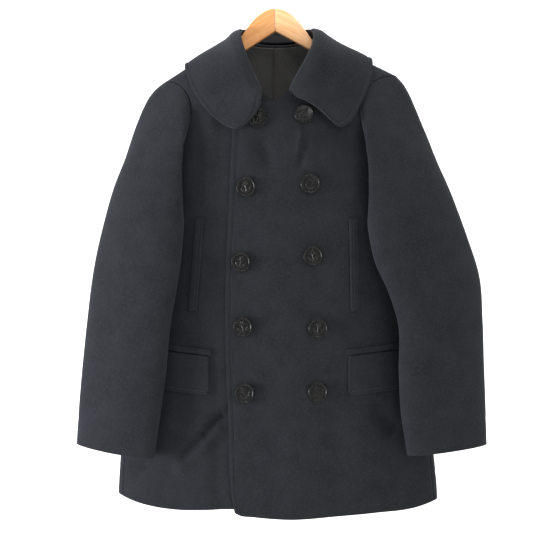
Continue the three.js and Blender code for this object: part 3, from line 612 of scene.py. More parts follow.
@dataclass(frozen=True)
class Melton:
    """Wool melton: woven coating, milled and cropped until it is a dense, matt felt.

    The eye sees no weave, only short tufts, a faint cloudiness and a soft bloom at glancing angles.
    """

    name: str = "navy_wool_melton"
    deep: str = "#191b1f"
    face: str = "#1f2125"
    tuft: str = "#292b30"
    # tufts are really about 1 mm; drawn at 3 mm, because a render's pixel covers 1.6 mm
    tuft_mm: float = 3.0
    fibre_mm: float = 0.9
    cloud_mm: float = 34.0
    bloom: float = 0.08

    def build(self) -> bpy.types.Material:
        """Return the material."""
        material, tree, shader = new_material(self.name)
        place = add_node(tree, "ShaderNodeTexCoord").outputs["Object"]
        clouds = add_node(tree, "ShaderNodeTexNoise", {"Scale": grain_scale(self.cloud_mm), "Detail": 3.0},
                          {"Vector": place})
        tufts = add_node(tree, "ShaderNodeTexNoise", {"Scale": grain_scale(self.tuft_mm), "Detail": 4.0,
                                                      "Roughness": 0.65}, {"Vector": place})
        fibres = add_node(tree, "ShaderNodeTexNoise", {"Scale": grain_scale(self.fibre_mm), "Detail": 2.0},
                          {"Vector": place})
        ground = blend_colours(tree, self.deep, self.face, stretch(tree, clouds.outputs[0], 0.32, 0.68))
        pile = blend_colours(tree, ground, self.tuft, stretch(tree, tufts.outputs[0], 0.46, 0.76, 0.0, 0.85))
        tree.links.new(pile, shader.inputs["Base Color"])
        rough = stretch(tree, fibres.outputs[0], 0.3, 0.7, 0.86, 1.0)
        tree.links.new(rough, shader.inputs["Roughness"])
        shader.inputs["Specular IOR Level"].default_value = 0.18
        shader.inputs["Sheen Weight"].default_value = self.bloom
        shader.inputs["Sheen Roughness"].default_value = 0.45
        shader.inputs["Sheen Tint"].default_value = linear("#b2b6c2")
        fine = add_node(tree, "ShaderNodeBump", {"Strength": 0.55, "Distance": 0.0006},
                        {"Height": tufts.outputs[0]})
        rest = add_node(tree, "ShaderNodeBump", {"Strength": 0.22, "Distance": 0.002},
                        {"Height": clouds.outputs[0], "Normal": fine.outputs[0]})
        tree.links.new(rest.outputs[0], shader.inputs["Normal"])
        return material


@dataclass(frozen=True)
class TwillLining:
    """Rayon twill lining: smooth, tightly woven, with a low silky gloss and a faint diagonal."""

    name: str = "charcoal_rayon_twill"
    warp: str = "#3e3e3e"
    weft: str = "#4e4e4d"
    worn: str = "#585755"
    # twill lines are really 0.5 mm apart; drawn at 3 mm, because finer ones don't show
    rib_mm: float = 3.0
    cloud_mm: float = 22.0

    def build(self) -> bpy.types.Material:
        """Return the material."""
        material, tree, shader = new_material(self.name)
        place = add_node(tree, "ShaderNodeTexCoord").outputs["Object"]
        turned = add_node(tree, "ShaderNodeMapping", {"Rotation": (0.0, math.radians(32), 0.0)}, {"Vector": place})
        ribs = add_node(tree, "ShaderNodeTexWave", {"bands_direction": "X", "Scale": grain_scale(self.rib_mm) / 6.28,
                                                    "Distortion": 0.6, "Detail": 1.0},
                        {"Vector": turned.outputs[0]})
        clouds = add_node(tree, "ShaderNodeTexNoise", {"Scale": grain_scale(self.cloud_mm), "Detail": 3.0},
                          {"Vector": place})
        woven = blend_colours(tree, self.warp, self.weft, stretch(tree, ribs.outputs["Fac"], 0.0, 1.0, 0.3, 0.7))
        worn = blend_colours(tree, woven, self.worn, stretch(tree, clouds.outputs[0], 0.45, 0.8, 0.0, 0.5))
        tree.links.new(worn, shader.inputs["Base Color"])
        tree.links.new(stretch(tree, clouds.outputs[0], 0.3, 0.7, 0.5, 0.68), shader.inputs["Roughness"])
        bump = add_node(tree, "ShaderNodeBump", {"Strength": 0.2, "Distance": 0.0004}, {"Height": ribs.outputs["Fac"]})
        tree.links.new(bump.outputs[0], shader.inputs["Normal"])
        return material


@dataclass(frozen=True)
class Thread:
    """Polyester sewing thread, dyed to the cloth: a little smoother and lighter than the wool."""

    name: str = "navy_polyester_thread"
    shade: str = "#1a1e27"
    light: str = "#343b4a"
    twist_mm: float = 1.2

    def build(self) -> bpy.types.Material:
        """Return the material."""
        material, tree, shader = new_material(self.name)
        place = add_node(tree, "ShaderNodeTexCoord").outputs["Object"]
        twist = add_node(tree, "ShaderNodeTexNoise", {"Scale": grain_scale(self.twist_mm)}, {"Vector": place})
        colour = blend_colours(tree, self.shade, self.light, stretch(tree, twist.outputs[0], 0.35, 0.65))
        tree.links.new(colour, shader.inputs["Base Color"])
        shader.inputs["Roughness"].default_value = 0.55
        bump = add_node(tree, "ShaderNodeBump", {"Strength": 0.3, "Distance": 0.0002}, {"Height": twist.outputs[0]})
        tree.links.new(bump.outputs[0], shader.inputs["Normal"])
        return material


@dataclass(frozen=True)
class PressedPlastic:
    """Pressed thermoset plastic: near black, hard and polished, hazed by handling."""

    name: str = "black_pressed_urea"
    body: str = "#050506"
    haze: str = "#13120e"
    haze_mm: float = 5.0
    scuff_mm: float = 1.4

    def build(self) -> bpy.types.Material:
        """Return the material."""
        material, tree, shader = new_material(self.name)
        place = add_node(tree, "ShaderNodeTexCoord").outputs["Object"]
        haze = add_node(tree, "ShaderNodeTexNoise", {"Scale": grain_scale(self.haze_mm), "Detail": 2.0},
                        {"Vector": place})
        scuff = add_node(tree, "ShaderNodeTexNoise", {"Scale": grain_scale(self.scuff_mm), "Detail": 3.0},
                         {"Vector": place})
        colour = blend_colours(tree, self.body, self.haze, stretch(tree, haze.outputs[0], 0.45, 0.75))
        tree.links.new(colour, shader.inputs["Base Color"])
        tree.links.new(stretch(tree, scuff.outputs[0], 0.35, 0.7, 0.16, 0.36), shader.inputs["Roughness"])
        shader.inputs["Specular IOR Level"].default_value = 0.3
        bump = add_node(tree, "ShaderNodeBump", {"Strength": 0.12, "Distance": 0.0002}, {"Height": scuff.outputs[0]})
        tree.links.new(bump.outputs[0], shader.inputs["Normal"])
        return material


@dataclass(frozen=True)
class LacqueredBeech:
    """Pale beech, planed and sanded under clear satin lacquer: straight grain with short dark pores."""

    name: str
    early: str
    late: str
    grain_angle: float
    ring_mm: float = 5.0
    pore_mm: float = 1.3
    pore: str = "#8a5226"

    def build(self) -> bpy.types.Material:
        """Return the material."""
        material, tree, shader = new_material(self.name)
        place = add_node(tree, "ShaderNodeTexCoord").outputs["Object"]
        along = add_node(tree, "ShaderNodeMapping", {"Rotation": (0.0, math.radians(self.grain_angle), 0.0)},
                         {"Vector": place})
        grain = add_node(tree, "ShaderNodeMapping", {"Scale": (0.07, 0.6, 1.0)}, {"Vector": along.outputs[0]})
        rings = add_node(tree, "ShaderNodeTexNoise", {"Scale": grain_scale(self.ring_mm), "Detail": 4.0,
                                                      "Roughness": 0.55}, {"Vector": grain.outputs[0]})
        pores = add_node(tree, "ShaderNodeTexNoise", {"Scale": grain_scale(self.pore_mm), "Detail": 1.0},
                         {"Vector": grain.outputs[0]})
        wood = blend_colours(tree, self.early, self.late, stretch(tree, rings.outputs[0], 0.36, 0.66))
        flecked = blend_colours(tree, wood, self.pore, stretch(tree, pores.outputs[0], 0.62, 0.8, 0.0, 0.5))
        tree.links.new(flecked, shader.inputs["Base Color"])
        tree.links.new(stretch(tree, rings.outputs[0], 0.3, 0.7, 0.34, 0.5), shader.inputs["Roughness"])
        shader.inputs["Coat Weight"].default_value = 0.25
        shader.inputs["Coat Roughness"].default_value = 0.25
        bump = add_node(tree, "ShaderNodeBump", {"Strength": 0.15, "Distance": 0.0003}, {"Height": pores.outputs[0]})
        tree.links.new(bump.outputs[0], shader.inputs["Normal"])
        return material


@dataclass(frozen=True)
class StudioPaper:
    """Matt white background paper: even and without gloss."""

    name: str = "white_studio_paper"
    tone: str = "#f6f6f5"
    fibre: str = "#fbfbfa"
    fibre_mm: float = 8.0

    def build(self) -> bpy.types.Material:
        """Return the material."""
        material, tree, shader = new_material(self.name)
        place = add_node(tree, "ShaderNodeTexCoord").outputs["Object"]
        fibres = add_node(tree, "ShaderNodeTexNoise", {"Scale": grain_scale(self.fibre_mm)}, {"Vector": place})
        tree.links.new(blend_colours(tree, self.tone, self.fibre, fibres.outputs[0]), shader.inputs["Base Color"])
        shader.inputs["Roughness"].default_value = 0.95
        shader.inputs["Specular IOR Level"].default_value = 0.1
        return material


class Slot(Enum):
    """The record's material slots."""

    WOOL = "wool"
    LINING = "lining"
    BUTTON = "button"
    WOOD = "wood"


class Held(Enum):
    """How a sheet of cloth is held."""

    HUNG = "hung"
    LAID = "laid"
    FOLDED = "folded"


@dataclass(frozen=True)
class Cut:
    """The flat cut of one sheet: its width, length and area, in metres and square metres."""

    width: float
    length: float
    area: float
    held: Held
    rests_on: tuple[str, ...]

    def declare(self, piece: bpy.types.Object) -> None:
        """Take a piece cut from this sheet; nothing is done with it."""


# strands laid one after another by Geometry Nodes


@dataclass(frozen=True)
class StrandRow:
    """Small spindle-shaped strands laid along a path: stitches, or the turns of a rope."""

    pitch: float
    length: float
    radius: float
    slant: float = 0.0

    def tree(self, material: bpy.types.Material) -> bpy.types.GeometryNodeTree:
        """Return the tree of nodes, with named inputs for its sizes.

        Args:
            material: the material that the strands get.

        Returns:
            The new tree.
        """
        tree = bpy.data.node_groups.new("strand_row", "GeometryNodeTree")
        tree.interface.new_socket(name="Geometry", in_out="INPUT", socket_type="NodeSocketGeometry")
        for name in ("Pitch", "Length", "Radius", "Slant"):
            tree.interface.new_socket(name=name, in_out="INPUT", socket_type="NodeSocketFloat")
        tree.interface.new_socket(name="Geometry", in_out="OUTPUT", socket_type="NodeSocketGeometry")
        start = add_node(tree, "NodeGroupInput").outputs
        curve = add_node(tree, "GeometryNodeMeshToCurve", links={"Mesh": start["Geometry"]})
        even = add_node(tree, "GeometryNodeResampleCurve", {"mode": "LENGTH"},
                        {"Curve": curve.outputs["Curve"], "Length": start["Pitch"]})
        half = add_node(tree, "ShaderNodeMath", {"operation": "MULTIPLY", 1: 0.5}, {0: start["Length"]})
        size = add_node(tree, "ShaderNodeCombineXYZ",
                        links={"X": start["Radius"], "Y": start["Radius"], "Z": half.outputs[0]})
        spindle = add_node(tree, "GeometryNodeMeshUVSphere", {"Segments": 6, "Rings": 5, "Radius": 1.0})
        strand = add_node(tree, "GeometryNodeTransform",
                          links={"Geometry": spindle.outputs["Mesh"], "Scale": size.outputs[0]})
        tangent = add_node(tree, "GeometryNodeInputTangent")
        aligned = add_node(tree, "FunctionNodeAlignRotationToVector", {"axis": "Z"},
                           {"Vector": tangent.outputs[0]})
        lean = add_node(tree, "FunctionNodeAxisAngleToRotation", {"Axis": (0.0, 0.0, 1.0)},
                        {"Angle": start["Slant"]})
        turned = add_node(tree, "FunctionNodeRotateRotation", {"rotation_space": "GLOBAL"},
                          {"Rotation": aligned.outputs[0], "Rotate By": lean.outputs[0]})
        placed = add_node(tree, "GeometryNodeInstanceOnPoints",
                          links={"Points": even.outputs["Curve"], "Instance": strand.outputs["Geometry"],
                                 "Rotation": turned.outputs[0]})
        real = add_node(tree, "GeometryNodeRealizeInstances", links={"Geometry": placed.outputs["Instances"]})
        dressed = add_node(tree, "GeometryNodeSetMaterial", {"Material": material},
                           {"Geometry": real.outputs["Geometry"]})
        add_node(tree, "NodeGroupOutput", links={"Geometry": dressed.outputs["Geometry"]})
        return tree

    def lay(self, name: str, paths: Sequence[Array], material: bpy.types.Material,
            closed: bool = False) -> bpy.types.Object:
        """Lay strands along some paths and return them as one plain mesh object.

        Args:
            name: the new object's name.
            paths: the points of each path, in millimetres.
            material: the strands' material.
            closed: whether each path's end meets its start.

        Returns:
            The new object.
        """
        points: list[list[float]] = []
        edges: list[tuple[int, int]] = []
        for path in paths:
            first = len(points)
            points += (np.asarray(path) * MM).tolist()
            edges += [(i, i + 1) for i in range(first, len(points) - 1)]
            if closed:
                edges.append((len(points) - 1, first))
        mesh = bpy.data.meshes.new(name + "_path")
        mesh.from_pydata(points, edges, [])
        guide = bpy.data.objects.new(name + "_path", mesh)
        bpy.context.scene.collection.objects.link(guide)
        modifier = guide.modifiers.new("strands", "NODES")
        tree = self.tree(material)
        modifier.node_group = tree
        sizes = {"Pitch": self.pitch * MM, "Length": self.length * MM, "Radius": self.radius * MM,
                 "Slant": self.slant}
        for item in tree.interface.items_tree:
            if item.in_out == "INPUT" and item.name in sizes:
                modifier[item.identifier] = sizes[item.name]
        bpy.context.view_layer.update()
        result = bpy.data.meshes.new_from_object(guide.evaluated_get(bpy.context.evaluated_depsgraph_get()))
        bpy.data.objects.remove(guide)
        bpy.data.node_groups.remove(tree)
        result.name = name
        result.shade_smooth()
        thing = bpy.data.objects.new(name, result)
        bpy.context.scene.collection.objects.link(thing)
        return thing


# the pieces


@dataclass
class Panel:
    """A grid of cloth on its way to a wall: its outer points and their outward directions."""

    points: Array
    normals: Array

    def raised(self, lift: Array) -> "Panel":
        """Return the panel with each point moved out by its lift."""
        return Panel(self.points + self.normals * np.asarray(lift)[..., None], self.normals)

    def from_edge(self, axis: int, far: bool = False) -> Array:
        """Return each point's distance along the cloth from one edge.

        Args:
            axis: 0 to measure up the columns, 1 along the rows.
            far: whether to measure from the last one, not the first.

        Returns:
            The distances in millimetres.
        """
        steps = np.linalg.norm(np.diff(self.points, axis=axis), axis=-1)
        if far:
            steps = np.flip(steps, axis)
        total = np.cumsum(steps, axis=axis)
        pad = np.zeros_like(np.take(total, [0], axis=axis))
        total = np.concatenate([pad, total], axis=axis)
        return np.flip(total, axis) if far else total

    def line_at(self, distance: Array, at: float, above: float) -> Array:
        """Return a line over the cloth at a distance from an edge, one point for each row.

        Args:
            distance: each point's distance from that edge.
            at: the distance wanted.
            above: how far the line lies over the cloth.

        Returns:
            The line's points.
        """
        line = []
        for row in range(len(self.points)):
            order = np.argsort(distance[row])
            held = [np.interp(at, distance[row][order], (self.points + self.normals * above)[row, order, k])
                    for k in range(3)]
            line.append(held)
        return np.array(line)

    def wall(self, name: str, thickness: float, material: bpy.types.Material) -> bpy.types.Object:
        """Return the panel as a closed wall of cloth."""
        points, faces = Wall(thickness).build(self.points, self.normals)
        return make_object(name, points, faces, material)


def body_panel(angle: Array, z: Array) -> Panel:
    """Return a panel on the coat's form from grids of angles and heights."""
    return Panel(FORM.point(angle, z), FORM.normal(angle, z))


# how far the sewing thread stands out of the cloth
STITCH_RAISE = 0.35


def turned_edge(distance: Array, turn: float) -> Array:
    """Return the shallow groove that shows where a hem or cuff is turned up.

    Args:
        distance: how far each point lies from the edge.
        turn: how far from the edge the turned cloth ends.

    Returns:
        The lift along the normals, inward everywhere.
    """
    depth, width = 0.35, 3
    return -(depth * np.exp(-np.square((distance - turn) / width)))


@dataclass
class BodyPanels:
    """The two fronts and the back."""

    wool: bpy.types.Material
    thickness: float = 3.0
    front_edge: Table = field(default_factory=lambda: Table("z x", [
        (-870, -60), (-804, -71), (-668, -77), (-595, -81), (-485, -82), (-278, -74), (-163, -69), (-100, -69)]))
    under_edge: float = 72.0
    lap: dict[str, float] = field(default_factory=lambda: {"start": 16, "end": 42, "top": -112, "fade": 22, "gap": 1.2})
    front_top: float = -162.0
    hem_over: Table = field(default_factory=lambda: Table("x z", [
        (-72, -829), (-62, -835), (-40, -838), (15, -842), (103, -837), (165, -833), (222, -829), (275, -817)]))
    hem_under: Table = field(default_factory=lambda: Table("x z", [
        (-275, -805), (-253, -812), (-230, -819), (-198, -825), (-165, -828), (-80, -826), (80, -826)]))
    hem_back: Table = field(default_factory=lambda: Table("x z", [
        (-275, -806), (-230, -817), (-120, -824), (0, -827), (120, -826), (230, -824), (275, -818)]))
    hem_guess: float = -820.0
    scoop_power: float = 2.5
    neck_foot: float = 1.5
    neck_start: float = 25.0
    stitch_line: float = 10.0
    hem_turn: float = 42.0
    # a hair below the ridge, so that front and back meet there without touching
    ridge_drop: float = 2e-5
    side_gap: float = 0.1
    over_cut: Cut = Cut(0.37, 0.81, 0.22, Held.HUNG, ("hanger_half_left", "front_right_under"))
    under_cut: Cut = Cut(0.36, 0.80, 0.208, Held.HUNG, ("hanger_half_right",))
    back_cut: Cut = Cut(0.56, 0.80, 0.395, Held.HUNG, ("hanger_half_left", "hanger_half_right"))

    def over_edge(self, z: Array) -> Array:
        """Return where the upper front's edge lies at a height."""
        return self.front_edge.read("x", z)

    def sink(self, x: Array, z: Array) -> Array:
        """Return how far the under front sinks where the other lies over it."""
        under = ease((x - self.over_edge(z) + self.lap["end"]) / (self.lap["end"] - self.lap["start"]))
        below = ease((self.lap["top"] - z) / self.lap["fade"])
        return -(self.thickness + self.lap["gap"]) * under * below

    def front_grid(self, shoulder: Shoulder, hem: Table, edge: Callable[[Array], Array]) -> Panel:
        """Return one front, its first column the front edge and its first row the hem.

        Args:
            shoulder: the side it is on.
            hem: the hem's height across the coat.
            edge: where the front edge lies at a height.

        Returns:
            The panel, still without folds.
        """
        side = shoulder.side
        edge_x = float(side * edge(np.array(self.front_top)))
        places = spaced(edge_x, edge_x + 16, self.neck_foot, self.neck_start, 82, shoulder.tip,
                        steps=(10, 12, 12, 24, 36))
        rise = np.clip((places - self.neck_foot) / (self.neck_start - self.neck_foot), 0, 1)
        point = mix(self.front_top, FORM.top_at(side * np.array(self.neck_start), False), rise)
        top = np.where(places < self.neck_start, point, FORM.top_at(side * places, False))
        tip_z = FORM.ridge(side * shoulder.tip)
        from_angle = FORM.angle_at(side * edge_x, self.front_top)
        to_angle = FORM.angle_at(side * shoulder.tip, tip_z)
        share = (FORM.angle_at(side * places, top) - from_angle) / (to_angle - from_angle)
        low_rise = spaced(0, 0.03, 1, steps=(8, 96))[:, None]
        guess_from = FORM.angle_at(edge(np.array(self.hem_guess)), self.hem_guess)
        guess = mix(guess_from, side * SIDE_SEAM_ANGLE, share)
        low = hem.read("z", FORM.point(guess, np.full_like(guess, self.hem_guess))[..., 0])
        z_low = mix(low[None, :], ARMPIT_Z, low_rise)
        angle_low = mix(FORM.angle_at(edge(z_low), z_low), side * SIDE_SEAM_ANGLE, share[None, :])
        rise = spaced(0, 1, steps=(64,))[1:, None]
        height = (FORM.armhole_z(shoulder, rise) - ARMPIT_Z) / (tip_z - ARMPIT_Z)
        z_high = mix(ARMPIT_Z, top[None, :], height)
        line = FORM.armhole_line(shoulder, rise, 0.0)
        scoop = (line - FORM.front_armhole(shoulder, rise)) * np.power(share[None, :], self.scoop_power)
        angle_high = mix(FORM.angle_at(edge(z_high), z_high), line, share[None, :]) - scoop
        on_ridge = places >= NECK_HALF
        z_high[-1, on_ridge] -= self.ridge_drop
        angle_high[-1, on_ridge] = FORM.angle_at(side * places, z_high[-1])[on_ridge]
        return body_panel(np.concatenate([angle_low, angle_high]), np.concatenate([z_low, z_high]))

    def dressed_front(self, panel: Panel, extra: Array) -> tuple[Panel, Array]:
        """Return a front with its folds and stitched edge, and the line for the stitches."""
        edge = panel.from_edge(1)
        hem = panel.from_edge(0)
        ends = ease(hem / 6)
        lift = extra + BODY_DRAPE.lift(panel.points, panel.normals)
        lift = lift + groove(edge, self.stitch_line) * ends
        lift = lift + turned_edge(hem, self.hem_turn)
        done = panel.raised(lift)
        return done, done.line_at(edge, self.stitch_line, STITCH_RAISE)

    def build_fronts(self) -> tuple[list[bpy.types.Object], list[Array]]:
        """Build both fronts.

        Returns:
            The two pieces, and a list with the stitch line of the upper front's edge only.
        """
        over, over_line = self.dressed_front(self.front_grid(LEFT, self.hem_over, self.over_edge), 0.0)
        plain = self.front_grid(RIGHT, self.hem_under, lambda z: np.full_like(z, self.under_edge, float))
        sunk = self.sink(plain.points[..., 0], plain.points[..., 2])
        sunk = sunk + UNDER_DRAPE.lift(plain.points, plain.normals)
        under, _ = self.dressed_front(plain, sunk)
        pieces = []
        for name, panel, cut in (("front_left_over", over, self.over_cut),
                                 ("front_right_under", under, self.under_cut)):
            LOG.info("%s covers %.3f m2", name, grid_area(panel.points))
            wall = panel.wall(name + "_cloth", self.thickness, self.wool)
            piece = settle_piece(wall, (name,))
            cut.declare(piece)
            pieces.append(piece)
        return pieces, [over_line[1:-2]]

    def build_back(self) -> bpy.types.Object:
        """Build the back, one plain panel."""
        places = spaced(LEFT.tip, 66, 0, -66, -RIGHT.tip, steps=(34, 26, 26, 32))
        top = FORM.top_at(places, True)
        angles = FORM.angle_at(places, top, True)
        share = ((angles - angles[0]) / (angles[-1] - angles[0]))[None, :]
        low_rise = spaced(0, 0.03, 1, steps=(6, 90))[:, None]
        gap = self.side_gap
        angle_low = mix(SIDE_SEAM_ANGLE + gap, 360 - SIDE_SEAM_ANGLE - gap, share) + 0 * low_rise
        low = self.hem_back.read("z", FORM.point(angle_low[0], np.full(len(places), self.hem_guess))[..., 0])
        z_low = mix(low[None, :], ARMPIT_Z, low_rise)
        rise = spaced(0, 1, steps=(60,))[1:, None]
        start = FORM.back_armhole(LEFT, rise) + gap
        end = 360 + FORM.back_armhole(RIGHT, rise) - gap
        heights = [(FORM.armhole_z(s, rise) - ARMPIT_Z) / (FORM.ridge(s.side * s.tip) - ARMPIT_Z)
                   for s in (LEFT, RIGHT)]
        z_high = mix(ARMPIT_Z, top[None, :], mix(heights[0], heights[1], share))
        angle_high = mix(start, end, share)
        on_ridge = np.abs(places) >= NECK_HALF
        z_high[-1, on_ridge] -= self.ridge_drop
        angle_high[-1, on_ridge] = FORM.angle_at(places, z_high[-1], True)[on_ridge]
        panel = body_panel(np.concatenate([angle_low, angle_high]), np.concatenate([z_low, z_high]))
        hem = panel.from_edge(0)
        lift = BODY_DRAPE.lift(panel.points, panel.normals) + turned_edge(hem, self.hem_turn)
        panel = panel.raised(lift)
        LOG.info("back covers %.3f m2", grid_area(panel.points))
        piece = settle_piece(panel.wall("back_cloth", self.thickness, self.wool), ("back",))
        self.back_cut.declare(piece)
        return piece


# the deep diagonal crease of the under front's skirt, with the roll below it
UNDER_DRAPE = Drape((
    Fold((-62, -660), (-92, -676), 7, -7.0, 0.1),
    Fold((-88, -670), (-122, -712), 7, -9.0, 0.2),
    Fold((-114, -700), (-160, -750), 8, -7.0, 0.3),
    Fold((-86, -690), (-120, -724), 9, 6.5, 0.2),
    Fold((-110, -716), (-168, -768), 11, 6.0, 0.3),
), swell=0.0)


RING_COLUMNS = "at blend outX outY outZ inX inY inZ front back"
LEFT_RINGS = Table(RING_COLUMNS, [
    (0, 0.08, 214, -1, -128, 160, -57, -261, 34, 46), (1, 0.26, 231, -3, -160, 155, -63, -280, 34, 46),
    (2, 0.5, 247, -5, -200, 152, -68, -304, 34, 44), (3, 0.76, 265, -7, -246, 151, -72, -334, 33, 42),
    (4, 1, 288, -9, -303, 152, -76, -370, 32, 38), (5, 1, 318, -12, -382, 161, -80, -424, 30, 32),
    (6, 1, 338, -16, -450, 184, -82, -478, 30, 27), (7, 1, 342, -20, -520, 199, -82, -532, 29, 24),
    (8, 1, 344, -22, -590, 199, -82, -598, 28, 23), (9, 1, 347, -22, -660, 203, -80, -668, 27, 22),
    (10, 1, 349, -20, -725, 214, -76, -737, 26, 22)])
RIGHT_RINGS = Table(RING_COLUMNS, [
    (0, 0.08, 200, -1, -136, 162, -57, -261, 34, 46), (1, 0.26, 218, -3, -162, 156, -63, -280, 34, 46),
    (2, 0.5, 234, -5, -202, 152, -68, -304, 34, 44), (3, 0.76, 249, -7, -246, 151, -72, -334, 33, 42),
    (4, 1, 268, -9, -302, 152, -76, -370, 32, 38), (5, 1, 289, -12, -380, 154, -80, -422, 30, 32),
    (6, 1, 302, -16, -448, 161, -82, -474, 30, 27), (7, 1, 311, -20, -520, 171, -82, -530, 29, 24),
    (8, 1, 318, -22, -590, 177, -82, -598, 28, 23), (9, 1, 324, -22, -660, 186, -80, -668, 27, 22),
    (10, 1, 329, -20, -724, 198, -76, -742, 26, 22)])


@dataclass
class Sleeve:
    """One two-piece sleeve, set into its armhole."""

    wool: bpy.types.Material
    name: str
    shoulder: Shoulder
    rings: Table
    top_cut: Cut
    under_cut: Cut
    thickness: float = 3.0
    loop_columns: int = 20
    each_column: int = 5
    inner_column: int = 8
    under_first: int = 9
    under_last: int = 13
    set_off: float = 0.4
    clear: dict[str, float] = field(default_factory=lambda: {"least": 6, "most": 6.5, "fall": 45, "top": -190})
    cuff_turn: float = 42.0

    def armhole(self, place: Array) -> tuple[Array, Array, Array]:
        """Return the armhole's angle, height and way round, from the tip forward and round."""
        half = self.loop_columns / 2
        ahead = place <= half
        rise = np.where(ahead, 1 - place / half, (place - half) / half)
        front, back = FORM.front_armhole(self.shoulder, rise), FORM.back_armhole(self.shoulder, rise)
        angle = np.where(ahead, front, back)
        turn = np.where(ahead, self.shoulder.side, -self.shoulder.side)
        return angle, FORM.armhole_z(self.shoulder, rise), turn

    def ring_point(self, at: Array, turn: Array) -> Array:
        """Return points of the sleeve's round sections, a row for each ring."""
        side = self.shoulder.side
        read = lambda name: self.rings.read(name, at)
        outer = stack(side * read("outX"), read("outY"), read("outZ"))
        inner = stack(side * read("inX"), read("inY"), read("inZ"))
        half = (outer - inner) / 2
        ahead = unit(stack(half[:, 1], -half[:, 0], 0 * at)) * side
        swell = np.where(np.sin(turn)[None, :] > 0, read("front")[:, None], read("back")[:, None])
        return ((inner + half)[:, None, :] + half[:, None, :] * np.cos(turn)[None, :, None]
                + ahead[:, None, :] * (swell * np.sin(turn)[None, :])[..., None])

    def clear_of_body(self, points: Array) -> Array:
        """Return the points, kept clear of the body's outside below the upper armhole."""
        x, y, z = points[..., 0], points[..., 1], points[..., 2]
        away = mix(self.clear["least"], self.clear["most"], ease((ARMPIT_Z - z) / self.clear["fall"]))
        middle = SECTIONS.read("middle", z)
        full = np.where(y < 0, SECTIONS.read("front", z), SECTIONS.read("back", z))
        half = SECTIONS.read("half", z) + away
        level = np.hypot((x - middle) / half, y / (FORM.depth(x, z, full) + away))
        inside = (level < 1) & (z <= self.clear["top"])
        level = np.where(inside, np.maximum(level, 1e-6), 1)
        return stack(middle + (x - middle) / level, y / level, z)

    def grid(self) -> Panel:
        """Return the whole sleeve, a row from the armhole to the cuff for each ring."""
        count = self.loop_columns * self.each_column
        place = np.arange(count) / self.each_column
        angle, height, way = self.armhole(place)
        hole = FORM.point(angle, height)
        inner_angle = self.inner_column / self.loop_columns * 2 * math.pi
        lead = (math.pi - inner_angle) / ((1 - math.cos(inner_angle)) / 2)
        even = place / self.loop_columns * 2 * math.pi
        turn = even + lead * (1 - np.cos(even)) / 2
        at = spaced(0, 9.8, 10, steps=(84, 4))
        to_outer = self.ring_point(at, np.array([0.0]))[:, 0] - hole[0]
        to_inner = self.ring_point(at, np.array([math.pi]))[:, 0] - hole[self.inner_column * self.each_column]
        outward = ((1 + np.cos(turn)) / 2)[None, :, None]
        carried = hole[None] + to_outer[:, None] * outward + to_inner[:, None] * (1 - outward)
        rings = self.clear_of_body(mix(carried, self.ring_point(at, turn),
                                       self.rings.read("blend", at)[:, None, None]))
        away = unit(rings[0] - hole)
        first = hole + away * self.set_off
        start = [mix(first, rings[0], share) for share in (0, 0.2, 0.45, 0.72)]
        points = np.concatenate([np.stack(start), rings])
        across = np.roll(points, -1, axis=1) - np.roll(points, 1, axis=1)
        down = np.gradient(points, axis=0)
        normals = unit(np.cross(across, down)) * self.shoulder.side
        here = FORM.point(angle + way * 0.5, height)
        off = unit(here - hole)
        for row in range(2):
            inward = np.maximum((normals[row] * off).sum(-1, keepdims=True), 0)
            normals[row] = unit(normals[row] - off * inward)
        return Panel(points, normals)

    def build(self) -> list[bpy.types.Object]:
        """Build the top sleeve and the under sleeve."""
        whole = self.grid()
        rows = np.arange(len(whole.points))[:, None]
        head = ease((rows - 1) / 6)
        cuff = whole.from_edge(0, far=True)
        lift = SLEEVE_DRAPE.lift(whole.points, whole.normals) * head
        lift = lift + 1.6 * np.sin(np.pi * np.clip((rows - 0.5) / 12, 0, 1))
        lift = lift + turned_edge(cuff, self.cuff_turn)
        whole = whole.raised(lift)
        count = whole.points.shape[1]
        pieces = []
        for part, first, last, cut in (
                ("under", self.under_first, self.under_last, self.under_cut),
                ("top", self.under_last, self.under_first + self.loop_columns, self.top_cut)):
            columns = np.arange(first * self.each_column, last * self.each_column + 1) % count
            panel = Panel(whole.points[:, columns], whole.normals[:, columns])
            name = f"sleeve_{part}_{self.name}"
            LOG.info("%s covers %.3f m2", name, grid_area(panel.points))
            wall = panel.wall(name + "_cloth", self.thickness, self.wool)
            piece = settle_piece(wall, (name,))
            cut.declare(piece)
            pieces.append(piece)
        return pieces


def smooth_through(knots: Array, places: Array) -> Array:
    """Return smooth curves through the knots of each section.

    Args:
        knots: the knots, by section, number and coordinate.
        places: where to read each curve, counted in knots.

    Returns:
        The points, by section, place and coordinate.
    """
    last = knots.shape[1] - 1
    row = np.clip(np.floor(places).astype(int), 0, last - 1)
    t = (places - row)[None, :, None]
    slope = np.gradient(knots, axis=1)
    t2, t3 = t * t, t * t * t
    return ((2 * t3 - 3 * t2 + 1) * knots[:, row] + (t3 - 2 * t2 + t) * slope[:, row]
            + (3 * t2 - 2 * t3) * knots[:, row + 1] + (t3 - t2) * slope[:, row + 1])


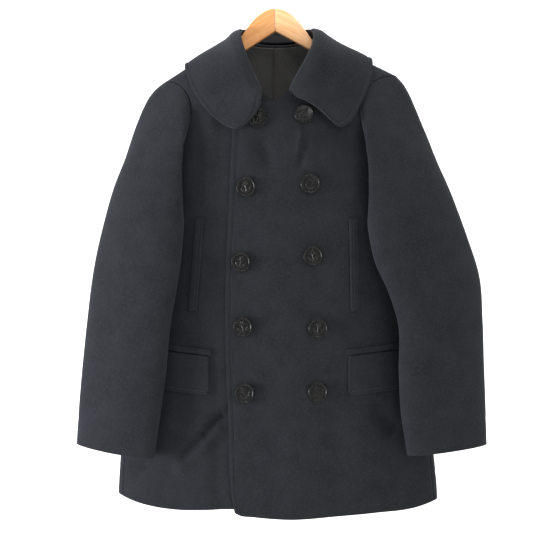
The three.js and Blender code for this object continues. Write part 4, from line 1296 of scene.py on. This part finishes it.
@dataclass
class Collar:
    """The wide roll-over collar: a stand round the neck, a fold, and a rounded leaf."""

    wool: bpy.types.Material
    thickness: float = 4.6
    left_rest: float = 3.0
    right_rest: float = 2.4
    leaf_stops: tuple[float, ...] = (0.12, 0.26, 0.42, 0.6, 0.8, 1)
    stand_stops: tuple[float, ...] = (1, 0.55, 0.05)
    settle_power: float = 1.5
    raised: float = 0.3
    off: float = 2.5
    up: float = 0.7
    stitch_line: float = 7.5
    left_edge: Table = field(default_factory=lambda: Table("at x drop flat bow lean", [
        (0, 0, 80, 0.72, 0, 0), (1, 54, 78, 0.66, 0, 1), (2, 102, 66, 0.6, 0, 3), (3, 136, 36, 0.55, 0, 5),
        (4, 154, 8, 0.5, 0, 6), (5, 159, -6, 0.55, 0, 2), (6, 156, -30, 0.6, 0, -4),
        (7, 147, -60, 0.66, 0, -4), (8, 133, -96, 0.72, 0, -1), (9, 119, -124, 0.72, 0, 0),
        (10, 102, -141, 0.72, 0, 0), (11, 88, -139, 0.72, 0, 0)]))
    right_edge: Table = field(default_factory=lambda: Table("at x drop flat bow lean", [
        (0, 0, 80, 0.72, 0, 0), (1, 52, 78, 0.6, 0, 1), (2, 98, 66, 0.42, 0, 4), (3, 128, 36, 0.3, 0, 8),
        (4, 143, 8, 0.26, 0, 12), (5, 148, -5, 0.3, 0, 9), (6, 142, -28, 0.42, 0, 4), (7, 131, -60, 0.6, 0, 1),
        (8, 110, -103, 0.72, 0, 0), (9, 86, -139, 0.72, 0, 0), (10, 62, -162, 0.72, 2, 0),
        (11, 46, -156, 0.72, 9, 0)]))
    cut: Cut = Cut(0.56, 0.16, 0.075, Held.FOLDED, ("front_left_over", "front_right_under", "back"))

    def sections(self, side: int, edge: Table, at: Array) -> Array:
        """Return the knots of the collar's sections, from the leaf's edge over the fold to the seam."""
        root = lambda drop: np.sign(drop) * np.sqrt(np.abs(drop))
        seam_x, seam_root = side * COLLAR_SEAM.read("x", at), root(COLLAR_SEAM.read("drop", at))
        rim_x, rim_root = side * edge.read("x", at), root(edge.read("drop", at))
        stand, lift = COLLAR_SEAM.read("stand", at), COLLAR_SEAM.read("lift", at)
        lean, flat = -side * edge.read("lean", at), edge.read("flat", at)
        rest = self.left_rest if side > 0 else self.right_rest
        rise = unit(FORM.ridge_normal(seam_x, seam_root) + np.array([0, 0, self.up]))
        foot = FORM.ridge_point(seam_x, seam_root)
        knots = []
        for share in reversed(self.leaf_stops):
            bow = side * edge.read("bow", at) * math.sin(math.pi * share)
            x, place = mix(seam_x + lean, rim_x, share) - bow, mix(seam_root, rim_root, share)
            settle = stand * np.maximum(1 - share / flat, 0) ** self.settle_power
            high = self.thickness / 2 + rest + settle + lift * ease(share / self.raised)
            knots.append(FORM.ridge_point(x, place) + FORM.ridge_normal(x, place) * high[:, None])
        inward = np.stack([lean, 0 * lean, 0 * lean], axis=-1)
        knots += [foot + rise * (self.off + stand * share)[:, None] + inward * share for share in self.stand_stops]
        return np.stack(knots, axis=1)

    def build(self) -> tuple[bpy.types.Object, list[Array]]:
        """Build the collar.

        Returns:
            The piece and the lines of its edge stitching.
        """
        ends = float(COLLAR_SEAM.values[-1, 0])
        at = spaced(ends, ends - 0.6, 0, steps=(10, 66))
        right = self.sections(-1, self.right_edge, at)
        left = self.sections(1, self.left_edge, at[::-1][1:])
        knots = np.concatenate([right, left])
        places = spaced(0, 0.55, 8, steps=(10, 40))
        middle = smooth_through(knots, places)
        across = np.gradient(middle, axis=1)
        up = np.gradient(middle, axis=0)
        normals = unit(np.cross(across, up))
        panel = Panel(middle + normals * self.thickness / 2, normals)
        rim = panel.from_edge(1)
        end = np.minimum(panel.from_edge(0), panel.from_edge(0, far=True))
        leaf = ease((5.2 - places) / 0.8)[None, :]
        nearest = np.minimum(rim, np.where(leaf > 0, end, 1e3))
        lift = groove(nearest, self.stitch_line, 1.6, 1.0, 0.7) * leaf
        x, z = panel.points[..., 0], panel.points[..., 2]
        lift = lift + leaf * (0.7 * np.sin(x / 15 + z / 41) + 0.5 * np.sin(z / 17 - x / 60 + 1))
        done = panel.raised(lift)
        lines = [done.line_at(rim, self.stitch_line, STITCH_RAISE)]
        LOG.info("collar covers %.3f m2", grid_area(done.points))
        wall = done.wall("collar_cloth", self.thickness, self.wool)
        piece = settle_piece(wall, ("collar",))
        self.cut.declare(piece)
        inner = np.nonzero((end[:, 0] > self.stitch_line))[0]
        return piece, [lines[0][inner[0]:inner[-1] + 1]]


@dataclass
class NeckInside:
    """What shows inside the neck: the upper part of the back lining, with a pleat down its middle."""

    lining: bpy.types.Material
    inside: float = -4.3
    bottom: float = -290.0
    half: float = 110.0
    neck_below: float = 1.5
    shoulder_below: float = 14.0
    thickness: float = 1.2
    cut: Cut = Cut(0.225, 0.24, 0.051, Held.HUNG, ("back",))

    def build(self) -> list[bpy.types.Object]:
        """Build the lining."""
        x = np.linspace(self.half, -self.half, 120)[None, :]
        below = mix(self.neck_below, self.shoulder_below, ease((np.abs(x) - 58) / 16))
        z = mix(self.bottom, FORM.top_at(x, True) - below, np.linspace(0, 1, 100)[:, None])
        panel = body_panel(FORM.angle_at(x, z, True), z).raised(np.full(z.shape, self.inside))
        x = x + 0 * z
        pleat = -1.6 * np.exp(-np.square((x + 1) / 2.2)) + 0.8 * np.exp(-np.square((x + 6) / 3))
        wrinkle = 0.5 * np.sin(x / 9 + z / 23) + 0.4 * np.sin(z / 11 - x / 31)
        wrinkle = wrinkle * ease(panel.from_edge(0, far=True) / 20)
        panel = panel.raised(np.clip(pleat + wrinkle, -2, 0.6))
        LOG.info("back_lining covers %.4f m2", grid_area(panel.points))
        cloth = panel.wall("back_lining_cloth", self.thickness, self.lining)
        piece = settle_piece(cloth, ("back_lining",))
        self.cut.declare(piece)
        return [piece]


@dataclass
class Pockets:
    """The upright welts, and the lower pockets' flaps with a jet above each."""

    wool: bpy.types.Material
    panels: BodyPanels
    thickness: float = 2.6
    lift: float = 0.6
    sink_share: float = 0.4
    welt_width: float = 14.5
    welt_top: float = -353.0
    welt_bottom: float = -504.0
    flap_top: float = -577.0
    flap_bottom: float = -641.0
    flap_length: float = 128.0
    tilt: float = 0.1
    corner: float = 9.0
    flare: float = 1.3
    jet_height: float = 9.0
    jet_above: float = 1.5
    jet_inset: float = 4.0
    stitch_line: float = 6.0
    welt_cut: Cut = Cut(0.0155, 0.152, 0.0023, Held.LAID, ("front_left_over", "front_right_under"))
    flap_cut: Cut = Cut(0.128, 0.065, 0.0082, Held.LAID, ("front_left_over", "front_right_under"))
    jet_cut: Cut = Cut(0.132, 0.0105, 0.0012, Held.LAID, ("front_left_over", "front_right_under"))

    def on_front(self, side: int, angle: Array, z: Array) -> Panel:
        """Return a pocket piece's panel, lying on the front and following its folds."""
        plain = body_panel(angle, z)
        x = plain.points[..., 0]
        sink = self.panels.sink(x, z) * self.sink_share if side < 0 else 0.0
        return plain.raised(sink + self.lift + self.thickness + BODY_DRAPE.lift(plain.points, plain.normals))

    def dressed(self, name: str, panel: Panel, edges: Array, cut: Cut) -> bpy.types.Object:
        """Return a pocket piece as a wall with a stitched edge, named for its node."""
        done = panel.raised(groove(edges, self.stitch_line, 1.3, 0.6, 0.5))
        LOG.info("%s covers %.4f m2", name, grid_area(done.points))
        piece = settle_piece(done.wall(name + "_cloth", self.thickness, self.wool), (name,))
        cut.declare(piece)
        return piece

    def build_welt(self, name: str, side: int, top_x: float, low_x: float) -> tuple[bpy.types.Object, Array]:
        """Build one welt and return it with its stitch line."""
        share = spaced(0, 0.06, 0.94, 1, steps=(6, 60, 6))[:, None]
        z = mix(self.welt_bottom, self.welt_top, share)
        z = np.repeat(z, 15, axis=1)
        x = mix(low_x, top_x, share) + side * self.welt_width * np.linspace(0, 1, 15)[None, :]
        panel = self.on_front(side, FORM.angle_at(x, z), z)
        swell = 0.9 * np.sin(np.pi * np.linspace(0, 1, 15))[None, :]
        panel = panel.raised(swell + 0 * z)
        open_edge = panel.from_edge(1)
        piece = self.dressed("welt_" + name, panel, open_edge, self.welt_cut)
        return piece, panel.line_at(open_edge, self.stitch_line, 0.1)[3:-3]

    def strip(self, side: int, start_x: float, top: float, low: float, length: float, columns: int,
              rows: int) -> tuple[Array, Array, Array]:
        """Return the grid of a strip that runs from x round the front towards the side."""
        level = np.linspace(low, top, rows)
        angles = [FORM.angle_at(np.full(rows, start_x), level)]
        heights = [level]
        step = length / columns
        for index in range(1, columns + 1):
            here = FORM.point(angles[-1], heights[-1])
            per = np.linalg.norm(FORM.point(angles[-1] + side, heights[-1]) - here, axis=-1)
            angles.append(angles[-1] + side * step / per)
            heights.append(level + self.tilt * step * index)
        run = np.linspace(0, length, columns + 1)
        return np.stack(angles, axis=1), np.stack(heights, axis=1), run

    def build_pocket(self, name: str, side: int, start_x: float) -> tuple[list[bpy.types.Object], Array]:
        """Build one flap and its jet, and return them with the flap's stitch line."""
        rows = 26
        angle, z, run = self.strip(side, start_x, self.flap_top, self.flap_bottom, self.flap_length, 56, rows)
        near = np.clip(self.corner - run, 0, self.corner)
        round_off = self.corner - np.sqrt(self.corner ** 2 - near ** 2)
        share = np.linspace(1, 0, rows)[:, None]
        z = z + round_off[None, :] * share
        panel = self.on_front(side, angle, z).raised(self.flare * share + 0 * z)
        low_edge, front_edge = panel.from_edge(0), panel.from_edge(1)
        flap = self.dressed("flap_" + name, panel, np.minimum(low_edge, front_edge), self.flap_cut)
        low = self.flap_top + self.jet_above
        angle, z, _ = self.strip(side, start_x - side * self.jet_inset, low + self.jet_height, low,
                                 self.flap_length + self.jet_inset, 56, 9)
        across = np.sin(np.pi * np.linspace(0, 1, 9))[:, None]
        jet_panel = self.on_front(side, angle, z).raised(0.8 * across + 0 * z)
        jet = self.dressed("jet_" + name, jet_panel, np.full(z.shape, 1e3), self.jet_cut)
        row = Panel(panel.points.swapaxes(0, 1), panel.normals.swapaxes(0, 1))
        line = row.line_at(low_edge.T, self.stitch_line, 0.1)[3:-2]
        return [flap, jet], line

    def build(self) -> list[Array]:
        """Build every pocket piece and return the lines of their stitching."""
        lines = []
        for name, side, top_x, low_x in (("left", 1, 119, 122), ("right", -1, -116, -128)):
            lines.append(self.build_welt(name, side, top_x, low_x)[1])
        for name, side, start_x in (("left", 1, 118), ("right", -1, -109)):
            lines.append(self.build_pocket(name, side, start_x)[1])
        return lines


@dataclass
class Buttons:
    """Ten pressed buttons, each with a shank, a roped rim and a plain anchor in low relief."""

    plastic: bpy.types.Material
    high: float = 4.2
    dish: float = 3.0
    stand: float = 3.0
    foot: float = 0.5
    relief: float = 0.9
    places: Table = field(default_factory=lambda: Table("number x z turn", [
        (1, -30, -190, -24), (2, -48, -302, 14), (3, -56, -424, -8), (4, -53, -529, 10), (5, -50, -636, 24),
        (6, 46, -183, -30), (7, 56, -297, -38), (8, 60, -414, 12), (9, 68, -531, -6), (10, 68, -634, 30)]))

    def anchor(self, x: Array, y: Array) -> Array:
        """Return the anchor's relief as a share from 0 to 1.

        Args:
            x: places across the button's face.
            y: places up the face.

        Returns:
            The share of the relief at each place.
        """
        def bar(ax: float, ay: float, bx: float, by: float, half: float) -> Array:
            """Return the distance outside a round-ended bar."""
            dx, dy = bx - ax, by - ay
            t = np.clip(((x - ax) * dx + (y - ay) * dy) / (dx * dx + dy * dy), 0, 1)
            return np.hypot(x - ax - t * dx, y - ay - t * dy) - half

        eye = np.abs(np.hypot(x, y - 8.0) - 1.7) - 0.55
        arc = np.abs(np.hypot(x, y + 1.6) - 6.6) - 0.85
        arc = np.where(y < -2.6 - 0.15 * np.abs(x), arc, 9.0)
        shapes = [eye, arc, bar(0, 6.0, 0, -8.4, 0.95), bar(-4.2, 4.2, 4.2, 4.2, 0.7)]
        for side in (-1, 1):
            shapes.append(bar(side * 6.9, -3.4, side * 5.0, -3.6, 0.7))
            shapes.append(bar(side * 6.9, -3.4, side * 7.5, -1.2, 0.6))
        return ease(0.5 - np.min(shapes, axis=0) / 0.9)

    def face(self) -> tuple[Array, list[Sequence[int]]]:
        """Return the button's points and faces, its axis along +Z."""
        around = 80
        radii = np.concatenate([np.linspace(0.6, 12.4, 24), [12.9, 13.3, 13.8, 14.4, 15.1, 15.6]])
        top = np.where(radii < 12.6, self.dish, 0.0)
        for radius, height in ((12.9, 3.15), (13.3, 3.6), (13.8, 4.0), (14.4, 4.2), (15.1, 4.05), (15.6, 3.6)):
            top[np.isclose(radii, radius)] = height
        turn = np.arange(around) / around * 2 * math.pi
        rings = []
        for radius, height in zip(radii, top):
            x, y = radius * np.cos(turn), radius * np.sin(turn)
            crown = 0.35 * (1 - (radius / 12.6) ** 2) if radius < 12.6 else 0.0
            mark = self.relief * self.anchor(x, y) if radius < 12.6 else 0.0
            rings.append(stack(x, y, self.stand + height + crown + mark))
        for radius, height in ((16.0, 3.0), (16.0, 1.6), (15.6, 0.7), (14.4, 0.0), (5.4, 0.0), (5.0, -0.4),
                               (4.6, -2.3)):
            rings.append(stack(radius * np.cos(turn), radius * np.sin(turn), self.stand + height))
        points = [np.array([[0, 0, self.stand + self.dish + 0.35 + self.relief]])] + rings
        points.append(np.array([[0, 0, self.foot + 0.1]]))
        faces: list[Sequence[int]] = [(0, 1 + i, 1 + (i + 1) % around) for i in range(around)]
        for ring in range(len(rings) - 1):
            low, high = 1 + ring * around, 1 + (ring + 1) * around
            faces += [(low + i, high + i, high + (i + 1) % around, low + (i + 1) % around) for i in range(around)]
        last, end = 1 + (len(rings) - 1) * around, 1 + len(rings) * around
        faces += [(last + (i + 1) % around, last + i, end) for i in range(around)]
        return np.concatenate(points), faces

    def frame_at(self, x: float, z: float, turn: float) -> Matrix:
        """Return the place and turn of a button on the upper front, in metres."""
        angle = FORM.angle_at(np.array([x]), np.array([z]))
        panel = body_panel(angle, np.array([z], float))
        spot = panel.raised(BODY_DRAPE.lift(panel.points, panel.normals)).points[0] * MM
        axis = Vector(panel.normals[0])
        side = Vector((0, 0, 1)).cross(axis).normalized()
        basis = Matrix((side, axis.cross(side), axis)).transposed().to_4x4()
        return Matrix.Translation(spot) @ basis @ Matrix.Rotation(math.radians(turn), 4, "Z")

    def build(self) -> list[bpy.types.Object]:
        """Build the ten buttons with their roped rims."""
        points, faces = self.face()
        turn = np.arange(96) / 96 * 2 * math.pi
        rope_path = stack(14.4 * np.cos(turn), 14.4 * np.sin(turn), 0 * turn + self.stand + self.high - 0.1)
        pieces = []
        for number, x, z, lean in self.places.values:
            name = f"button_{int(number):02d}"
            place = self.frame_at(x, z, lean)
            disc = make_object(name + "_disc", points, faces, self.plastic)
            rope = StrandRow(2.3, 3.6, 0.75, math.radians(32)).lay(name + "_rope", [rope_path], self.plastic, True)
            for thing in (disc, rope):
                thing.data.transform(place)
                pieces.append(thing)
            settle_piece(disc, (name,))
            settle_piece(rope)
        return pieces


@dataclass
class Hanger:
    """The plain hanger: two planed halves, mitred and glued at the crown."""

    woods: dict[str, bpy.types.Material]
    thickness: float = 13.0
    bevel: float = 1.8
    gap: float = 0.3
    apex: float = -38.0
    arm_drop: float = 8.0
    start: float = 68.0
    inset: float = 24.0
    high: float = 20.0
    corner: float = 5.0
    crown: Table = field(default_factory=lambda: Table("x z", [
        (0, 0), (12, -2), (24, -8.3), (34, -16.7), (43, -27), (51, -38), (57, -47), (62, -53)]))

    def outline(self, shoulder: Shoulder) -> Array:
        """Return one half's outline, from the crown out along the arm and back to the mitre."""
        end = shoulder.tip - self.inset
        arm = lambda x: FORM.ridge(shoulder.side * x) - self.arm_drop
        half_gap = self.gap / 2
        crown_x = np.linspace(half_gap, 62, 22)
        crown = np.stack([crown_x, self.crown.read("z", crown_x)], axis=1)
        arm_x = np.linspace(self.start, end - self.corner, 12)
        upper = np.stack([arm_x, arm(arm_x)], axis=1)
        low = float(arm(end))
        turn = np.linspace(0, math.pi / 2, 5)[1:]
        nose = np.stack([end - self.corner + self.corner * np.sin(turn),
                         low - self.corner + self.corner * np.cos(turn)], axis=1)
        tail = np.stack([end - self.corner + self.corner * np.cos(turn - turn[0]),
                         low - self.high + self.corner - self.corner * np.sin(turn - turn[0])], axis=1)
        return np.concatenate([crown, upper, nose, tail, [[end - self.corner - 4, low - self.high]],
                               [[half_gap, self.apex]]])

    def build_half(self, name: str, shoulder: Shoulder) -> bpy.types.Object:
        """Build one half as a bevelled board."""
        flat = self.outline(shoulder)
        count = len(flat)
        deep = self.thickness / 2
        points = np.concatenate([stack(shoulder.side * flat[:, 0], side * deep, flat[:, 1]) for side in (-1, 1)])
        faces: list[Sequence[int]] = [tuple(range(count)), tuple(range(2 * count - 1, count - 1, -1))]
        faces += [(i, count + i, count + (i + 1) % count, (i + 1) % count) for i in range(count)]
        board = make_object(f"hanger_{name}_board", points, faces, self.woods[name])
        bevel = board.modifiers.new("eased_edges", "BEVEL")
        bevel.width = self.bevel * MM
        bevel.segments = 3
        bevel.limit_method = "ANGLE"
        bevel.angle_limit = math.radians(50)
        bpy.context.view_layer.update()
        shaped = bpy.data.meshes.new_from_object(board.evaluated_get(bpy.context.evaluated_depsgraph_get()))
        board.modifiers.clear()
        board.data = shaped
        shaped.set_sharp_from_angle(angle=math.radians(40))
        return settle_piece(board, (f"hanger_half_{name}",))

    def build(self) -> list[bpy.types.Object]:
        """Build both halves."""
        return [self.build_half("left", LEFT), self.build_half("right", RIGHT)]


# the studio


@dataclass
class Studio:
    """A plain pale floor and backdrop, soft light from the left, and the photograph's view."""

    paper: bpy.types.Material
    eye: tuple[float, float, float] = (-14.9, -2272.0, -431.0)
    view_width: float = 863.5
    view_distance: float = 2200.0
    floor: float = -1150.0
    back: float = 2600.0

    def stage(self) -> None:
        """Lay the floor and bend it up into the backdrop."""
        bend = 900.0
        turn = np.linspace(0, math.pi / 2, 13)
        profile = [(-6000.0, self.floor)]
        profile += [(self.back - bend + bend * math.sin(t), self.floor + bend - bend * math.cos(t)) for t in turn]
        profile.append((self.back, 4200.0))
        mesh = bpy.data.meshes.new("paper_sweep")
        points = [(side * 6.0, y * MM, z * MM) for y, z in profile for side in (-1, 1)]
        faces = [(2 * i, 2 * i + 1, 2 * i + 3, 2 * i + 2) for i in range(len(profile) - 1)]
        mesh.from_pydata(points, [], faces)
        mesh.materials.append(self.paper)
        mesh.shade_smooth()
        sweep = bpy.data.objects.new("paper_sweep", mesh)
        bpy.context.scene.collection.objects.link(sweep)

    def lamp(self, name: str, place: tuple[float, float, float], aim: tuple[float, float, float],
             size: float, power: float, colour: str) -> None:
        """Hang one soft area lamp.

        Args:
            name: the lamp's name.
            place: where it hangs, in metres.
            aim: the point that it faces, in metres.
            size: its side, in metres.
            power: its power in watts.
            colour: its colour.
        """
        data = bpy.data.lights.new(name, "AREA")
        data.shape = "SQUARE"
        data.size = size
        data.energy = power
        data.color = linear(colour)[:3]
        lamp = bpy.data.objects.new(name, data)
        lamp.location = place
        lamp.rotation_euler = (Vector(aim) - Vector(place)).to_track_quat("-Z", "Y").to_euler()
        bpy.context.scene.collection.objects.link(lamp)

    def light(self) -> None:
        """Light the studio."""
        world = bpy.data.worlds.new("studio_air")
        bpy.context.scene.world = world
        world.use_nodes = True
        air = world.node_tree.nodes["Background"]
        air.inputs["Color"].default_value = linear("#ffffff")
        air.inputs["Strength"].default_value = 0.66
        self.lamp("left_window", (-3.0, -0.95, -0.64), (0, 0, -0.55), 1.0, 122.0, "#f6f8ff")
        self.lamp("front_glint", (0.7, -2.3, 0.9), (0, 0, -0.4), 0.24, 7.0, "#ffffff")
        self.lamp("right_fill", (2.6, -2.4, 0.1), (0, 0, -0.5), 2.0, 26.0, "#fffaf2")
        self.lamp("backdrop_wash", (0.0, 0.4, 2.4), (0, 2.4, -0.6), 2.6, 120.0, "#ffffff")

    def camera(self) -> None:
        """Set the camera where the photograph was taken from."""
        data = bpy.data.cameras.new("camera")
        data.sensor_fit = "HORIZONTAL"
        data.angle = 2 * math.atan(self.view_width / 2 / self.view_distance)
        data.clip_end = 100
        camera = bpy.data.objects.new("camera", data)
        camera.location = tuple(v * MM for v in self.eye)
        camera.rotation_euler = (math.pi / 2, 0, 0)
        bpy.context.scene.collection.objects.link(camera)
        bpy.context.scene.camera = camera

    def build(self) -> None:
        """Build the whole studio."""
        self.stage()
        self.light()
        self.camera()
        bpy.context.scene.view_settings.view_transform = "Standard"


def main() -> None:
    """Build the coat, the hanger and the studio."""
    logging.basicConfig(level=logging.INFO, format="%(name)s: %(message)s")
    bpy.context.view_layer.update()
    wool = Melton().build()
    lining = TwillLining().build()
    thread = Thread().build()
    plastic = PressedPlastic().build()
    woods = {"right": LacqueredBeech("lacquered_beech_amber", "#e4a564", "#d58f50", 32.0).build(),
             "left": LacqueredBeech("lacquered_beech_pale", "#f8c58e", "#eeb178", -27.0).build()}
    Studio(StudioPaper().build()).build()
    panels = BodyPanels(wool)
    _, edge_lines = panels.build_fronts()
    panels.build_back()
    Sleeve(wool, "left", LEFT, LEFT_RINGS, Cut(0.30, 0.66, 0.158, Held.HUNG, ("front_left_over", "back")),
           Cut(0.10, 0.52, 0.036, Held.HUNG, ("sleeve_top_left",))).build()
    Sleeve(wool, "right", RIGHT, RIGHT_RINGS, Cut(0.30, 0.66, 0.158, Held.HUNG, ("front_right_under", "back")),
           Cut(0.10, 0.52, 0.036, Held.HUNG, ("sleeve_top_right",))).build()
    _, collar_lines = Collar(wool).build()
    NeckInside(lining).build()
    pocket_lines = Pockets(wool, panels).build()
    Buttons(plastic).build()
    Hanger(woods).build()
    stitches = StrandRow(3.6, 2.9, 0.3).lay("edge_stitching", edge_lines + collar_lines + pocket_lines, thread)
    settle_piece(stitches)


if __name__ == "__main__":
    main()
